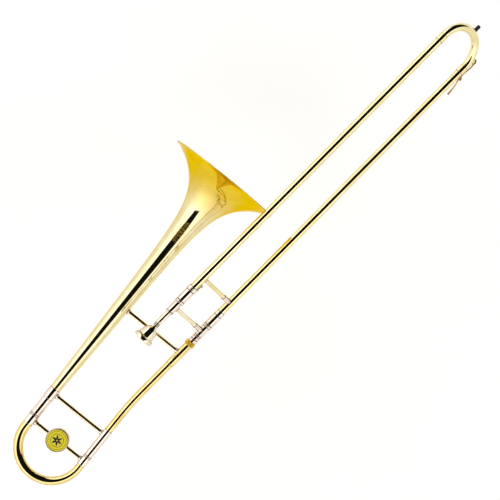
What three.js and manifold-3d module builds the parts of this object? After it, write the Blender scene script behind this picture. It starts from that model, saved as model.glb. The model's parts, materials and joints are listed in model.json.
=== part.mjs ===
import * as THREE from 'three';
import { mergeVertices } from 'three/addons/utils/BufferGeometryUtils.js';
import Module from 'manifold-3d';

const wasm = await Module();
wasm.setup();

// A tenor trombone with its hand slide and its tuning slide pushed home. Millimetres.
// X runs along the hand slide towards its end bow, Y from the lower slide tube towards the
// bell, and Z up out of the bell's plane. The origin is on the lower slide tube's axis at
// the inner brace, where the left hand holds the instrument.

// ---- overall layout ----
const tubeSpacing = 91; // between the axes of the two slide tubes
const slidePlaneTurn = Math.PI / 4; // from the bell's plane to the slide's plane, about X
const bellTilt = THREE.MathUtils.degToRad(6.05); // bell axis away from the slide's axis
const neckX = -182.3; // where the gooseneck's two straight lines meet
const bellReach = 417.3; // bell rim ahead of that point, along the bell's axis
const legSpacing = 120; // between the bell's axis and the lower leg of the tuning slide

// ---- clearances, all radial or face to face ----
const running = 0.05; // between pieces that turn or slide on each other
const solder = 0.1; // between pieces soldered one inside the other
const rest = 0.3; // between pieces that meet at an angle or end to end

// ---- facets ----
const tubeSides = 16;
const bellSides = 32;
const smallSides = 12;

// ---- hand slide ----
const boreRadius = 6.3;
const innerTubeWall = 0.3;
const innerTubeRadius = boreRadius + innerTubeWall;
const stockingDepth = 0.15; // the inner tubes are thicker at their free ends
const stockingRadius = innerTubeRadius + stockingDepth;
const stockingLength = 115;
const outerTubeWall = 0.3;
const outerTubeBore = stockingRadius + 2 * running;
const outerTubeRadius = outerTubeBore + outerTubeWall;
const outerTubeStart = 24;
const oversleeveWall = 0.4;
const oversleeveRadius = outerTubeRadius + oversleeveWall;
const upperOversleeveEnd = 95;
const lowerOversleeveEnd = 122.6;
const outerBraceX = 70.5;
const bowFerruleStart = 649.6;
const bowFerruleLength = 13.9;
const bowFerruleRadius = outerTubeRadius + 0.5;
const endBowWall = 0.35;
const innerTubeEnd = bowFerruleStart - 4.6;
const bumperLength = 10.9;
const bumperRadius = 3.65;

// ---- inner slide fittings ----
const ferruleStart = -13.5;
const flangeStart = 10.2;
const flangeLength = 5.1;
const barrelBore = oversleeveRadius + 0.2;
const barrelRadius = barrelBore + 0.95;
const flangeRadius = barrelRadius + 0.25;
const barrelEnd = 48.6;
const barrelFloor = 1.2; // behind the felt
const feltLength = 6.5;
const receiverRadius = innerTubeRadius + 0.9;
const leadpipeEntry = 5.15;
const leadpipeEnd = 222;

// ---- slide lock ----
const ringStart = 39.7; // of the narrow end that carries the lock ring
const ringSeatRadius = barrelBore + 0.5;
const lockLipRadius = ringSeatRadius + 0.25; // keeps the ring on its seat
const lockRingRadius = lockLipRadius + 1.1;
const lockArmTurn = THREE.MathUtils.degToRad(124); // from the slide plane's Y towards its Z
const lockArmHalfWidth = THREE.MathUtils.degToRad(14);
const lockThrow = THREE.MathUtils.degToRad(28);
const studX = barrelEnd + 8.4;
const studRadius = 1.5;
const studHeight = 4;
const lockArmEnd = studX + 4.5;

// ---- bell connection ----
const tenonWall = 0.6;
const tenonRadius = boreRadius + tenonWall;
const tenonStart = -72;
const collarStart = -26;
const collarLength = 1.9;
const collarRadius = tenonRadius + 1;
const tenonShoulderRadius = tenonRadius + 0.7;
const lowerFerruleRadius = tenonRadius + 1;
const gooseneckRadius = 7.25;
const gooseneckWall = 0.45;
const socketThreadRadius = tenonRadius + 0.6;
const socketWall = 0.65;
const socketRadius = Math.max(gooseneckRadius, tenonRadius + 0.35) + socketWall;
const socketStart = -82.4;
const socketEnd = -29.2;
const nutStart = -34.9;
const nutEnd = collarStart - rest;
const nutRadius = socketThreadRadius + 2.1;

// ---- mouthpiece ----
const rimX = -79.7;
const rimRadius = 17.8;
const shankEnd = 6;
const shankRadius = 5.15;
const shankTaper = 0.017;

// ---- bell ----
const bellWall = 0.5;
const tailRadius = 23.145; // of the stem's straight taper, drawn out to the rim
const stemTaper = 0.0276;
const flareDepth = 84.1;
const flareLength = 34.06;
const flareSharpness = 0.932;
const rimBead = 0.8;
const seamBack = 150; // the flare and the stem meet here, behind the rim
const bellTail = 488;

// ---- tuning slide, placed by distance behind the bell's rim ----
const bowCentreBack = 563;
const tuningFerruleBack = 556;
const tuningFerruleFront = 538.2;
const tuningFerruleWall = 0.65;
const sleeveBack = tuningFerruleFront - rest;
const sleeveWall = 0.4;
const upperBowRadius = 9.35;
const apexBowRadius = 8.2;
const lowerBowRadius = 7.45;
const bowWall = 0.45;
const upperLegRadius = 9.1;
const lowerLegRadius = 7.5;
const legWall = 0.4;
const upperSleeveBore = upperLegRadius + 2 * running;
const lowerSleeveBore = lowerLegRadius + 2 * running;
const upperSleeveRadius = upperSleeveBore + sleeveWall;
const lowerSleeveRadius = Math.max(lowerSleeveBore, gooseneckRadius + solder) + sleeveWall;
const upperSleeveEnd = bellTail + 1.2;
const lowerSleeveEnd = 477;
const gooseneckInsert = 6.5;
const sectionBraceBack = 487.6;
const bellBraceBack = 291;
const tailFerruleBack = 500;
const tailFerruleFront = 478;
const tailFerruleWall = 0.5;

// ---- braces ----
const rodRadius = 4.1;
const footSocketWall = 0.75;
const footRadius = rodRadius + 1.4;
const footDepth = 1.6;
const shortSocket = 4.5;
const innerBraceSocket = 16;
const outerBraceSocket = 15;

// ---- counterweight ----
const weightRadius = 21.5;
const weightWall = 2.9; // over the rod
const weightDepth = 2 * (rodRadius + weightWall);
const weightFaceRadius = weightRadius - 2.5;
const weightFaceDepth = 1.5;

// ---- water key ----
const nippleTurn = THREE.MathUtils.degToRad(21); // round the end bow from its lower end
const nippleRadius = 4;
const nippleHeight = 3.3;
const nippleBore = 2;
const corkRadius = nippleRadius + 0.6;
const corkDepth = 1.9;
const pivotX = bowFerruleStart - 5.1;
const pivotDrop = outerTubeRadius + 4.85;
const pinRadius = 0.95;
const keyWidth = 4.6;
const keyDepth = 1.5;
const keyArmWidth = 2.8;
const keyTouchRadius = 2.3;
const keyReach = 33;

const lacqueredBrass = new THREE.MeshStandardMaterial({ color: 0xd8b255, metalness: 1, roughness: 0.16 });
const goldBrass = new THREE.MeshStandardMaterial({ color: 0xcf9f35, metalness: 1, roughness: 0.14 });
const paleBrass = new THREE.MeshStandardMaterial({ color: 0xe6d18a, metalness: 1, roughness: 0.15 });
const nickelSilver = new THREE.MeshStandardMaterial({ color: 0xd5c4b2, metalness: 1, roughness: 0.18 });
const silverPlate = new THREE.MeshStandardMaterial({ color: 0xe4e0d3, metalness: 1, roughness: 0.1 });
const chrome = new THREE.MeshStandardMaterial({ color: 0xdedad2, metalness: 1, roughness: 0.08 });
const yellowEnamel = new THREE.MeshStandardMaterial({ color: 0xe8cf2a, metalness: 0.2, roughness: 0.35 });
const steel = new THREE.MeshStandardMaterial({ color: 0x9a8c70, metalness: 1, roughness: 0.3 });
const rubber = new THREE.MeshStandardMaterial({ color: 0x151314, metalness: 0, roughness: 0.6 });
const cork = new THREE.MeshStandardMaterial({ color: 0xb98a5a, metalness: 0, roughness: 0.9 });
const felt = new THREE.MeshStandardMaterial({ color: 0x3b3b3f, metalness: 0, roughness: 1 });

const trombone = new THREE.Group();

// The hand slide's own plane: X along the tubes, Y from the lower tube to the upper one.
const slidePlane = new THREE.Group();
slidePlane.rotation.x = slidePlaneTurn;
trombone.add(slidePlane);

// The bell's own axes: X along the bell, Y from the lower leg to the bell's axis.
const bellPlane = new THREE.Group();
bellPlane.position.x = neckX;
bellPlane.rotation.z = bellTilt;
trombone.add(bellPlane);

function add(parent, name, geometry, material) {
  const mesh = new THREE.Mesh(geometry, material);
  mesh.name = name;
  parent.add(mesh);
  return mesh;
}

// ---- shapes ----

// A solid turned about X. The outline's points are [x, radius], first along the inside's
// near end, then out, along and back in, so that the faces point outwards.
function turned(outline, sides = tubeSides) {
  const points = outline.map(([x, radius]) => new THREE.Vector2(radius, x));
  return new THREE.LatheGeometry(points, sides).rotateZ(-Math.PI / 2);
}

function ring(start, end, outer, inner, sides = tubeSides) {
  return turned([[start, inner], [start, outer], [end, outer], [end, inner], [start, inner]], sides);
}

function rod(start, end, radius, sides = tubeSides) {
  return turned([[start, 0], [start, radius], [end, radius], [end, 0]], sides);
}

// A faceted hole's radius to its corners, so that its flats clear a shaft of that radius.
function holeRound(shaftRadius, clearance, sides = tubeSides) {
  return (shaftRadius + clearance) / Math.cos(Math.PI / sides);
}

// A tube along a path in the XY plane. stations are distances along the path.
function bentTube(path, stations, radiusAt, wall) {
  const outside = stations.map((s) => [s, radiusAt(s)]);
  const inside = stations.map((s) => [s, radiusAt(s) - wall]).reverse();
  const geometry = turned([...outside, ...inside, outside[0]]);
  const length = path.getLength();
  const position = geometry.getAttribute('position');
  for (let i = 0; i < position.count; i += 1) {
    const along = THREE.MathUtils.clamp(position.getX(i) / length, 0, 1);
    const centre = path.getPointAt(along);
    const ahead = path.getTangentAt(along);
    const offset = position.getY(i);
    position.setXY(i, centre.x - ahead.y * offset, centre.y + ahead.x * offset);
  }
  return geometry;
}

// Distances along a path made of a straight, a bend and a straight.
function bendStations(straight, length, steps) {
  const bend = length - 2 * straight;
  const middle = Array.from({ length: steps + 1 }, (_, i) => straight + (bend * i) / steps);
  return [0, ...middle, length];
}

function toSolid(geometry) {
  const bare = geometry.clone();
  bare.deleteAttribute('normal');
  bare.deleteAttribute('uv');
  const merged = mergeVertices(bare, 1e-4);
  const corners = merged.getIndex().array;
  const triangles = [];
  for (let i = 0; i < corners.length; i += 3) {
    const [a, b, c] = corners.slice(i, i + 3);
    if (a !== b && b !== c && c !== a) {
      triangles.push(a, b, c);
    }
  }
  return new wasm.Manifold(new wasm.Mesh({
    numProp: 3,
    vertProperties: new Float32Array(merged.getAttribute('position').array),
    triVerts: new Uint32Array(triangles),
  }));
}

function toGeometry(solid) {
  const mesh = solid.getMesh();
  const geometry = new THREE.BufferGeometry();
  geometry.setAttribute('position', new THREE.Float32BufferAttribute(mesh.vertProperties, 3));
  geometry.setIndex(new THREE.Uint32BufferAttribute(mesh.triVerts, 1));
  geometry.computeVertexNormals();
  return geometry;
}

function cut(geometry, ...cutters) {
  let solid = toSolid(geometry);
  for (const cutter of cutters) {
    solid = solid.subtract(toSolid(cutter));
  }
  return toGeometry(solid);
}

function join(geometry, ...others) {
  return toGeometry(others.reduce((solid, other) => solid.add(toSolid(other)), toSolid(geometry)));
}

// ---- braces ----

// A soldered foot with a socket for the brace's rod. X runs out of the tube that it stands
// on; that tube lies along Y, turned by lean. The foot's underside is cut to the tube.
function braceFoot(tubeRadius, socketLength, lean = 0) {
  const bodyRadius = rodRadius + footSocketWall;
  const skirt = tubeRadius * 0.55;
  const seat = tubeRadius + footDepth;
  const foot = turned([
    [skirt, 0],
    [skirt, footRadius],
    [tubeRadius + footDepth / 2, footRadius],
    [seat, bodyRadius + 0.4],
    [seat + 0.8, bodyRadius],
    [tubeRadius + socketLength, bodyRadius],
    [tubeRadius + socketLength, rodRadius + solder],
    [seat, rodRadius + solder],
    [seat, 0],
  ], smallSides);
  const reach = 2 * footRadius;
  const tube = rod(-reach, reach, tubeRadius + rest).rotateZ(Math.PI / 2 + lean);
  return cut(foot, tube);
}

// from and to are points in the parent's XY plane, on the axes of the two tubes.
function addBrace(parent, name, from, to, rodMaterial) {
  const across = new THREE.Vector2(to.x - from.x, to.y - from.y);
  const line = new THREE.Group();
  line.position.set(from.x, from.y, 0);
  line.rotation.z = across.angle();
  parent.add(line);
  const length = across.length();
  const start = from.radius + footDepth + rest;
  const end = length - to.radius - footDepth - rest;
  add(line, `${name}_rod`, rod(start, end, rodRadius, smallSides), rodMaterial);
  const first = braceFoot(from.radius, from.socket, from.lean);
  add(line, `${name}_lower_foot`, first, nickelSilver);
  const second = add(line, `${name}_upper_foot`, braceFoot(to.radius, to.socket, to.lean), nickelSilver);
  second.position.x = length;
  second.rotation.z = Math.PI;
}

// ---- inner slide ----

const feltStart = flangeStart + flangeLength + barrelFloor;

// The cup at the top of each inner tube that takes the outer tube's end. Its narrow end
// carries the lock ring, held by a rolled lip, or a plain soldered ring.
function corkBarrel(ringed) {
  const tubeHole = innerTubeRadius + solder;
  const lip = barrelEnd - 0.6;
  const end = ringed
    ? [[ringStart, ringSeatRadius], [lip, ringSeatRadius], [lip, lockLipRadius], [barrelEnd, lockLipRadius]]
    : [[ringStart, barrelRadius + 0.2], [lip, barrelRadius + 0.2], [barrelEnd, barrelRadius]];
  return turned([
    [flangeStart, tubeHole],
    [flangeStart, flangeRadius],
    [flangeStart + flangeLength, flangeRadius],
    [flangeStart + flangeLength, barrelRadius],
    [ringStart, barrelRadius],
    ...end,
    [barrelEnd, barrelBore],
    [feltStart, barrelBore],
    [feltStart, tubeHole],
    [flangeStart, tubeHole],
  ]);
}

function innerTube(start) {
  const step = innerTubeEnd - stockingLength;
  return turned([
    [start, boreRadius],
    [start, innerTubeRadius],
    [step, innerTubeRadius],
    [step + 1, stockingRadius],
    [innerTubeEnd, stockingRadius],
    [innerTubeEnd, boreRadius],
    [start, boreRadius],
  ]);
}

function addInnerSlide() {
  const upper = new THREE.Group();
  upper.position.y = tubeSpacing;
  slidePlane.add(upper);
  const ferruleEnd = flangeStart - 0.1;
  const tubeHole = innerTubeRadius + solder;
  const shankSeat = shankEnd + 0.5;
  const mouth = shankRadius + shankTaper * (shankEnd - ferruleStart) + running;
  add(upper, 'mouthpiece_receiver', turned([
    [ferruleStart, mouth],
    [ferruleStart, receiverRadius],
    [ferruleEnd, receiverRadius],
    [ferruleEnd, tubeHole],
    [shankSeat, tubeHole],
    [shankSeat, shankRadius + running],
    [ferruleStart, mouth],
  ]), nickelSilver);
  add(upper, 'upper_inner_tube', innerTube(shankSeat + rest), silverPlate);
  add(upper, 'leadpipe', turned([
    [shankSeat + rest, leadpipeEntry],
    [shankSeat + rest, boreRadius - solder],
    [leadpipeEnd, boreRadius - solder],
    [leadpipeEnd, boreRadius - 0.4],
    [shankSeat + rest, leadpipeEntry],
  ]), lacqueredBrass);
  add(upper, 'upper_cork_barrel', corkBarrel(true), nickelSilver);

  const lower = slidePlane;
  const tenonInset = ferruleStart + 7;
  add(lower, 'slide_tenon', turned([
    [tenonStart, boreRadius],
    [tenonStart, tenonRadius],
    [collarStart, tenonRadius],
    [collarStart, collarRadius],
    [collarStart + collarLength, collarRadius],
    [collarStart + collarLength, tenonShoulderRadius],
    [ferruleStart - 0.2, tenonShoulderRadius],
    [ferruleStart - 0.2, tenonRadius],
    [tenonInset, tenonRadius],
    [tenonInset, boreRadius],
    [tenonStart, boreRadius],
  ]), nickelSilver);
  const tubeStart = tenonInset + rest;
  add(lower, 'lower_brace_ferrule', turned([
    [ferruleStart, tenonRadius + solder],
    [ferruleStart, lowerFerruleRadius],
    [ferruleEnd, lowerFerruleRadius],
    [ferruleEnd, tubeHole],
    [tubeStart, tubeHole],
    [tubeStart, tenonRadius + solder],
    [ferruleStart, tenonRadius + solder],
  ]), nickelSilver);
  add(lower, 'lower_inner_tube', innerTube(tubeStart), silverPlate);
  add(lower, 'lower_cork_barrel', corkBarrel(false), nickelSilver);

  const feltOuter = barrelBore - solder;
  const feltInner = innerTubeRadius + 0.3;
  const feltEnd = feltStart + 0.1 + feltLength;
  add(upper, 'upper_felt_bumper', ring(feltStart + 0.1, feltEnd, feltOuter, feltInner), felt);
  add(lower, 'lower_felt_bumper', ring(feltStart + 0.1, feltEnd, feltOuter, feltInner), felt);

  addBrace(
    slidePlane,
    'inner_brace',
    { x: 0, y: 0, radius: lowerFerruleRadius, socket: innerBraceSocket },
    { x: 0, y: tubeSpacing, radius: receiverRadius, socket: shortSocket },
    chrome,
  );
}

function addMouthpiece() {
  const upper = new THREE.Group();
  upper.position.y = tubeSpacing;
  slidePlane.add(upper);
  const cupDepth = 24;
  const cupEnd = rimX + 9.8;
  const throat = 3.2;
  const bandRadius = 5.2;
  const shankAt = (x) => shankRadius + shankTaper * (shankEnd - x);
  const outside = [
    [rimX, 14.6],
    [rimX + 0.5, 16.6],
    [rimX + 2, rimRadius],
    [rimX + 6, rimRadius],
    [rimX + 8, 17],
    [cupEnd, 14.4],
    [rimX + 17, 13.4],
    [rimX + 21, 12.3],
    [rimX + 24.5, 10.7],
    [rimX + 28, 8],
    [rimX + 30.5, 5.9],
    [rimX + 32.5, bandRadius],
    [rimX + 42.4, bandRadius],
    [rimX + 43, shankAt(rimX + 43)],
    [shankEnd, shankRadius],
  ];
  const inside = [
    [shankEnd, 4.4],
    [rimX + cupDepth + 14, throat],
    [rimX + cupDepth + 4, throat],
    [rimX + cupDepth, 4.6],
    [rimX + cupDepth - 4, 8],
    [rimX + cupDepth - 11, 11.3],
    [rimX + 3, 12.6],
    [rimX + 1, 13],
  ];
  add(upper, 'mouthpiece', turned([...outside, ...inside, outside[0]]), silverPlate);
}

function addSlideLock() {
  const upper = new THREE.Group();
  upper.position.y = tubeSpacing;
  slidePlane.add(upper);
  const bore = holeRound(ringSeatRadius, running);
  const ringEnd = barrelEnd - 0.8;
  const collar = ring(ringStart + 0.2, ringEnd, lockRingRadius, bore);
  // The arm is a strip of the same sleeve. Its hook takes the stud as the ring turns.
  const armBore = holeRound(lockLipRadius, running);
  const sleeve = ring(ringEnd - 1, lockArmEnd, lockRingRadius, armBore);
  const armWidth = 2 * lockRingRadius * Math.sin(lockArmHalfWidth);
  const armBlock = new THREE.BoxGeometry(2 * lockArmEnd, lockRingRadius, armWidth);
  armBlock.translate(0, armBore + lockRingRadius / 2 - 1, 0).rotateX(lockArmTurn);
  const arm = toGeometry(toSolid(sleeve).intersect(toSolid(armBlock)));
  const slotWidth = 2 * studRadius + 0.8;
  const slot = new THREE.BoxGeometry(slotWidth, 2 * lockRingRadius, lockRingRadius);
  slot.translate(studX, lockRingRadius, lockRingRadius / 2 - studRadius - rest).rotateX(lockArmTurn);
  add(upper, 'slide_lock_ring', cut(join(collar, arm), slot), nickelSilver);

  const stud = turned([
    [oversleeveRadius - 1, 0],
    [oversleeveRadius - 1, studRadius],
    [oversleeveRadius + studHeight - 1.1, studRadius],
    [oversleeveRadius + studHeight - 1.1, studRadius + 0.9],
    [oversleeveRadius + studHeight, studRadius + 0.7],
    [oversleeveRadius + studHeight, 0],
  ], smallSides).rotateZ(Math.PI / 2).translate(studX, 0, 0).rotateX(lockArmTurn + lockThrow);
  const sleeveSpace = rod(studX - 8, studX + 8, oversleeveRadius + rest);
  add(upper, 'slide_lock_stud', cut(stud, sleeveSpace), lacqueredBrass);
}

// ---- outer slide ----

const bowStart = bowFerruleStart + bowFerruleLength;
const bowRadius = tubeSpacing / 2;
const bowStraight = bowFerruleLength / 2 - 0.2;

function addOuterSlide() {
  const ends = [
    { name: 'lower', y: 0, sleeveEnd: lowerOversleeveEnd },
    { name: 'upper', y: tubeSpacing, sleeveEnd: upperOversleeveEnd },
  ];
  const tubeEnd = bowStart - bowStraight - rest;
  for (const { name, y, sleeveEnd } of ends) {
    const line = new THREE.Group();
    line.position.y = y;
    slidePlane.add(line);
    const tube = ring(outerTubeStart, tubeEnd, outerTubeRadius, outerTubeBore);
    add(line, `${name}_outer_tube`, tube, paleBrass);
    const sleeve = ring(outerTubeStart, sleeveEnd, oversleeveRadius, outerTubeRadius + running);
    add(line, `${name}_oversleeve`, sleeve, paleBrass);
    const ferrule = ring(bowFerruleStart, bowStart, bowFerruleRadius, outerTubeRadius + solder);
    add(line, `${name}_bow_ferrule`, ferrule, paleBrass);
  }
  addBrace(
    slidePlane,
    'outer_brace',
    { x: outerBraceX, y: 0, radius: oversleeveRadius, socket: outerBraceSocket },
    { x: outerBraceX, y: tubeSpacing, radius: oversleeveRadius, socket: shortSocket },
    lacqueredBrass,
  );

  const path = new THREE.Path();
  path.moveTo(bowStart - bowStraight, 0);
  path.lineTo(bowStart, 0);
  path.absarc(bowStart, bowRadius, bowRadius, -Math.PI / 2, Math.PI / 2, false);
  path.lineTo(bowStart - bowStraight, tubeSpacing);
  const stations = bendStations(bowStraight, path.getLength(), 14);
  const bow = bentTube(path, stations, () => outerTubeRadius, endBowWall);
  const drain = aroundBow(rod(bowRadius + 2, bowRadius + outerTubeRadius + 2, nippleBore, smallSides));
  add(slidePlane, 'end_bow', cut(bow, drain), paleBrass);

  const apex = new THREE.Group();
  apex.position.set(bowStart + bowRadius, bowRadius, 0);
  slidePlane.add(apex);
  const stubRadius = 2.2;
  const stubEnd = outerTubeRadius + 6;
  const stub = rod(outerTubeRadius - 2, stubEnd, stubRadius, smallSides);
  const bowSpace = rod(-6, 6, outerTubeRadius + rest).rotateZ(Math.PI / 2);
  add(apex, 'bumper_stub', cut(stub, bowSpace), lacqueredBrass);
  const tip = outerTubeRadius + bumperLength;
  const bumperHole = stubRadius + solder;
  const bumper = turned([
    [stubEnd + rest, 0],
    [stubEnd + rest, bumperHole],
    [outerTubeRadius - 1.5, bumperHole],
    [outerTubeRadius - 1.5, bumperRadius],
    [tip - 1.2, bumperRadius],
    [tip - 0.4, bumperRadius - 0.5],
    [tip, bumperRadius - 1.2],
    [tip, 0],
  ], smallSides);
  add(apex, 'rubber_bumper', cut(bumper, bowSpace), rubber);
}

// ---- water key ----

// Moves a solid that lies along X out of the end bow's centre, through the drain hole.
function aroundBow(geometry) {
  return geometry.rotateZ(nippleTurn - Math.PI / 2).translate(bowStart, bowRadius, 0);
}

// A flat strip about a centre line in the XY plane, width wide across Z.
function strip(points, thickness, width) {
  const line = points.map(([x, y]) => new THREE.Vector2(x, y));
  const normals = line.map((point, i) => {
    const before = line[Math.max(i - 1, 0)];
    const after = line[Math.min(i + 1, line.length - 1)];
    const along = new THREE.Vector2().subVectors(after, before).normalize();
    return new THREE.Vector2(-along.y, along.x).multiplyScalar(thickness / 2);
  });
  const one = line.map((point, i) => point.clone().add(normals[i]));
  const other = line.map((point, i) => point.clone().sub(normals[i])).reverse();
  const shape = new THREE.Shape([...one, ...other]);
  const flat = new THREE.ExtrudeGeometry(shape, { depth: width, bevelEnabled: false });
  return flat.translate(0, 0, -width / 2);
}

function addWaterKey() {
  const surface = bowRadius + outerTubeRadius;
  const nippleTop = surface + nippleHeight;
  const nipple = aroundBow(ring(surface - 2.5, nippleTop, nippleRadius, nippleBore, smallSides));
  const tubeUnder = rod(-6, 6, outerTubeRadius + rest).rotateZ(Math.PI / 2).translate(bowRadius, 0, 0);
  add(slidePlane, 'water_key_nipple', cut(nipple, aroundBow(tubeUnder)), paleBrass);

  const corkStart = nippleTop + 0.1;
  const corkEnd = corkStart + corkDepth;
  add(slidePlane, 'water_key_cork', aroundBow(rod(corkStart, corkEnd, corkRadius, smallSides)), cork);

  const cupFloor = corkEnd + 0.1;
  const cupBack = cupFloor + 1.1;
  const cupBore = corkRadius + solder;
  const cup = aroundBow(turned([
    [cupFloor, 0],
    [cupFloor, cupBore],
    [corkStart + 0.7, cupBore],
    [corkStart + 0.7, cupBore + 0.6],
    [cupBack - 0.4, cupBore + 0.6],
    [cupBack, cupBore],
    [cupBack, 0],
  ], smallSides));
  const cupX = bowStart + cupBack * Math.sin(nippleTurn);
  const cupY = bowRadius - cupBack * Math.cos(nippleTurn);
  const arm = strip([
    [pivotX - keyReach, -pivotDrop - 7.4],
    [pivotX - 15, -pivotDrop - 4.6],
    [pivotX - 4, -pivotDrop - 1],
    [pivotX + 4, -pivotDrop + 0.4],
    [pivotX + 14, -pivotDrop + 0.6],
    [pivotX + 24, -pivotDrop - 0.6],
    [pivotX + 32, -pivotDrop - 1],
    [cupX + 1.5, cupY - 0.1],
  ], keyDepth, keyArmWidth);
  const touch = rod(-keyDepth / 2, keyDepth / 2, keyTouchRadius, smallSides);
  touch.rotateZ(Math.PI / 2 + 0.15).translate(pivotX - keyReach + 1.5, -pivotDrop - 7.2, 0);
  const hingeTube = rod(-2.3, 0.5, 1.9, smallSides).rotateY(Math.PI / 2).translate(pivotX, -pivotDrop, 0);
  const pinHole = rod(-8, 8, holeRound(pinRadius, running, smallSides), smallSides).rotateY(Math.PI / 2);
  pinHole.translate(pivotX, -pivotDrop, 0);
  const springSpace = new THREE.BoxGeometry(5.6, 5.6, keyWidth);
  springSpace.translate(pivotX, -pivotDrop, -keyWidth / 2 - 0.6);
  const lever = cut(join(arm, touch, hingeTube, cup), pinHole, springSpace);
  add(slidePlane, 'water_key_lever', lever, lacqueredBrass);

  // The saddle is one block with a slot for the lever, cut to the tube that it stands on.
  const saddleStart = pivotX - 4.4;
  const saddleEnd = bowFerruleStart - 0.5;
  const saddleBottom = -pivotDrop - 2.4;
  const saddleHeight = -outerTubeRadius * 0.6 - saddleBottom;
  const saddleMiddle = (saddleStart + saddleEnd) / 2;
  const saddle = new THREE.BoxGeometry(saddleEnd - saddleStart, saddleHeight, keyWidth + 3.6);
  saddle.translate(saddleMiddle, saddleBottom + saddleHeight / 2, 0);
  const slotHeight = -outerTubeRadius - 1.6 - saddleBottom;
  const slot = new THREE.BoxGeometry(30, 2 * slotHeight, keyWidth + 0.8);
  slot.translate(saddleMiddle, saddleBottom, 0);
  const tube = rod(saddleStart - 5, saddleEnd + 5, outerTubeRadius + rest);
  add(slidePlane, 'water_key_saddle', cut(saddle, slot, tube, pinHole), lacqueredBrass);

  const earFace = keyWidth / 2 + 1.8;
  const pin = turned([
    [-earFace, 0],
    [-earFace, pinRadius],
    [earFace + 0.1, pinRadius],
    [earFace + 0.1, 1.9],
    [earFace + 0.8, 1.7],
    [earFace + 0.8, 0],
  ], smallSides).rotateY(-Math.PI / 2).translate(pivotX, -pivotDrop, 0);
  add(slidePlane, 'water_key_pin', pin, steel);

  // Two and a half turns of wire round the pin, with one leg under the lever.
  const wire = 0.35;
  const coilRadius = 1.75;
  const turns = 2.5;
  const points = [new THREE.Vector3(pivotX - 7, -pivotDrop + coilRadius + 0.6, -0.9)];
  for (let i = 0; i <= turns * 8; i += 1) {
    const turn = Math.PI / 2 - (i / 8) * 2 * Math.PI;
    const x = pivotX + coilRadius * Math.cos(turn);
    const y = -pivotDrop + coilRadius * Math.sin(turn);
    points.push(new THREE.Vector3(x, y, -0.9 - (i / 8) * 0.55));
  }
  const circle = new THREE.Shape().absarc(0, 0, wire / 2, 0, 2 * Math.PI);
  const coil = new THREE.ExtrudeGeometry(circle, {
    steps: 44,
    curveSegments: 3,
    extrudePath: new THREE.CatmullRomCurve3(points),
  });
  add(slidePlane, 'water_key_spring', coil, steel);
}

// ---- bell section ----

const backToX = (back) => bellReach - back;

function bellRadius(back) {
  const flare = flareDepth * Math.exp(-((back / flareLength) ** flareSharpness));
  return tailRadius - stemTaper * back + flare;
}

const tailFerruleRadius = Math.max(
  holeRound(bellRadius(tailFerruleFront), solder),
  upperSleeveRadius + solder,
) + tailFerruleWall;

// The bell's skin at distances behind the rim, as [x, radius] points. The inside lies the
// wall's thickness away, square to the outside.
function bellOutline(backs) {
  const outside = backs.map((back) => [backToX(back), bellRadius(back)]);
  const inside = backs.map((back) => {
    const step = 0.5;
    const slope = Math.atan2(bellRadius(back) - bellRadius(back + step), step);
    return [backToX(back) + bellWall * Math.sin(slope), bellRadius(back) - bellWall * Math.cos(slope)];
  });
  return { outside, inside: inside.reverse() };
}

function addBell() {
  const axis = new THREE.Group();
  axis.position.y = legSpacing;
  bellPlane.add(axis);
  const flareBacks = [seamBack, 120, 96, 76, 60, 47, 36, 27, 19, 12, 6, 2];
  const flare = bellOutline(flareBacks);
  const rimOuter = bellRadius(0) + rimBead;
  const bead = [
    [backToX(0.9), rimOuter - 1.2],
    [backToX(0.9), rimOuter - 0.3],
    [backToX(0.3), rimOuter],
    [backToX(-0.5), rimOuter],
    [backToX(-0.9), rimOuter - 0.8],
    [backToX(-0.7), rimOuter - 1.8],
    [backToX(-0.2), rimOuter - 2.4],
  ];
  const flareOutline = [...flare.outside, ...bead, ...flare.inside, flare.outside[0]];
  add(axis, 'bell_flare', turned(flareOutline, bellSides), goldBrass);
  const stemBacks = [bellTail, 400, 310, 240, 190, seamBack + solder];
  const stem = bellOutline(stemBacks);
  const stemOutline = [...stem.outside, ...stem.inside, stem.outside[0]];
  add(axis, 'bell_stem', turned(stemOutline, bellSides), goldBrass);

  const tailHole = holeRound(bellRadius(tailFerruleFront), solder);
  const sleeveHole = upperSleeveRadius + solder;
  const step = backToX(bellTail) - 0.4;
  add(axis, 'bell_tail_ferrule', turned([
    [backToX(tailFerruleBack), sleeveHole],
    [backToX(tailFerruleBack), tailFerruleRadius],
    [backToX(tailFerruleFront), tailFerruleRadius],
    [backToX(tailFerruleFront), tailHole],
    [step, tailHole],
    [step, sleeveHole],
    [backToX(tailFerruleBack), sleeveHole],
  ]), nickelSilver);
  const sleeveStart = backToX(sleeveBack);
  const upperSleeve = ring(sleeveStart, backToX(upperSleeveEnd), upperSleeveRadius, upperSleeveBore);
  add(axis, 'upper_tuning_sleeve', upperSleeve, nickelSilver);

  const insert = backToX(lowerSleeveEnd) - gooseneckInsert;
  add(bellPlane, 'lower_tuning_sleeve', turned([
    [backToX(sleeveBack), lowerSleeveBore],
    [backToX(sleeveBack), lowerSleeveRadius],
    [backToX(lowerSleeveEnd), lowerSleeveRadius],
    [backToX(lowerSleeveEnd), gooseneckRadius + solder],
    [insert, gooseneckRadius + solder],
    [insert, lowerSleeveBore],
    [backToX(sleeveBack), lowerSleeveBore],
  ]), nickelSilver);
}

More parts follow.
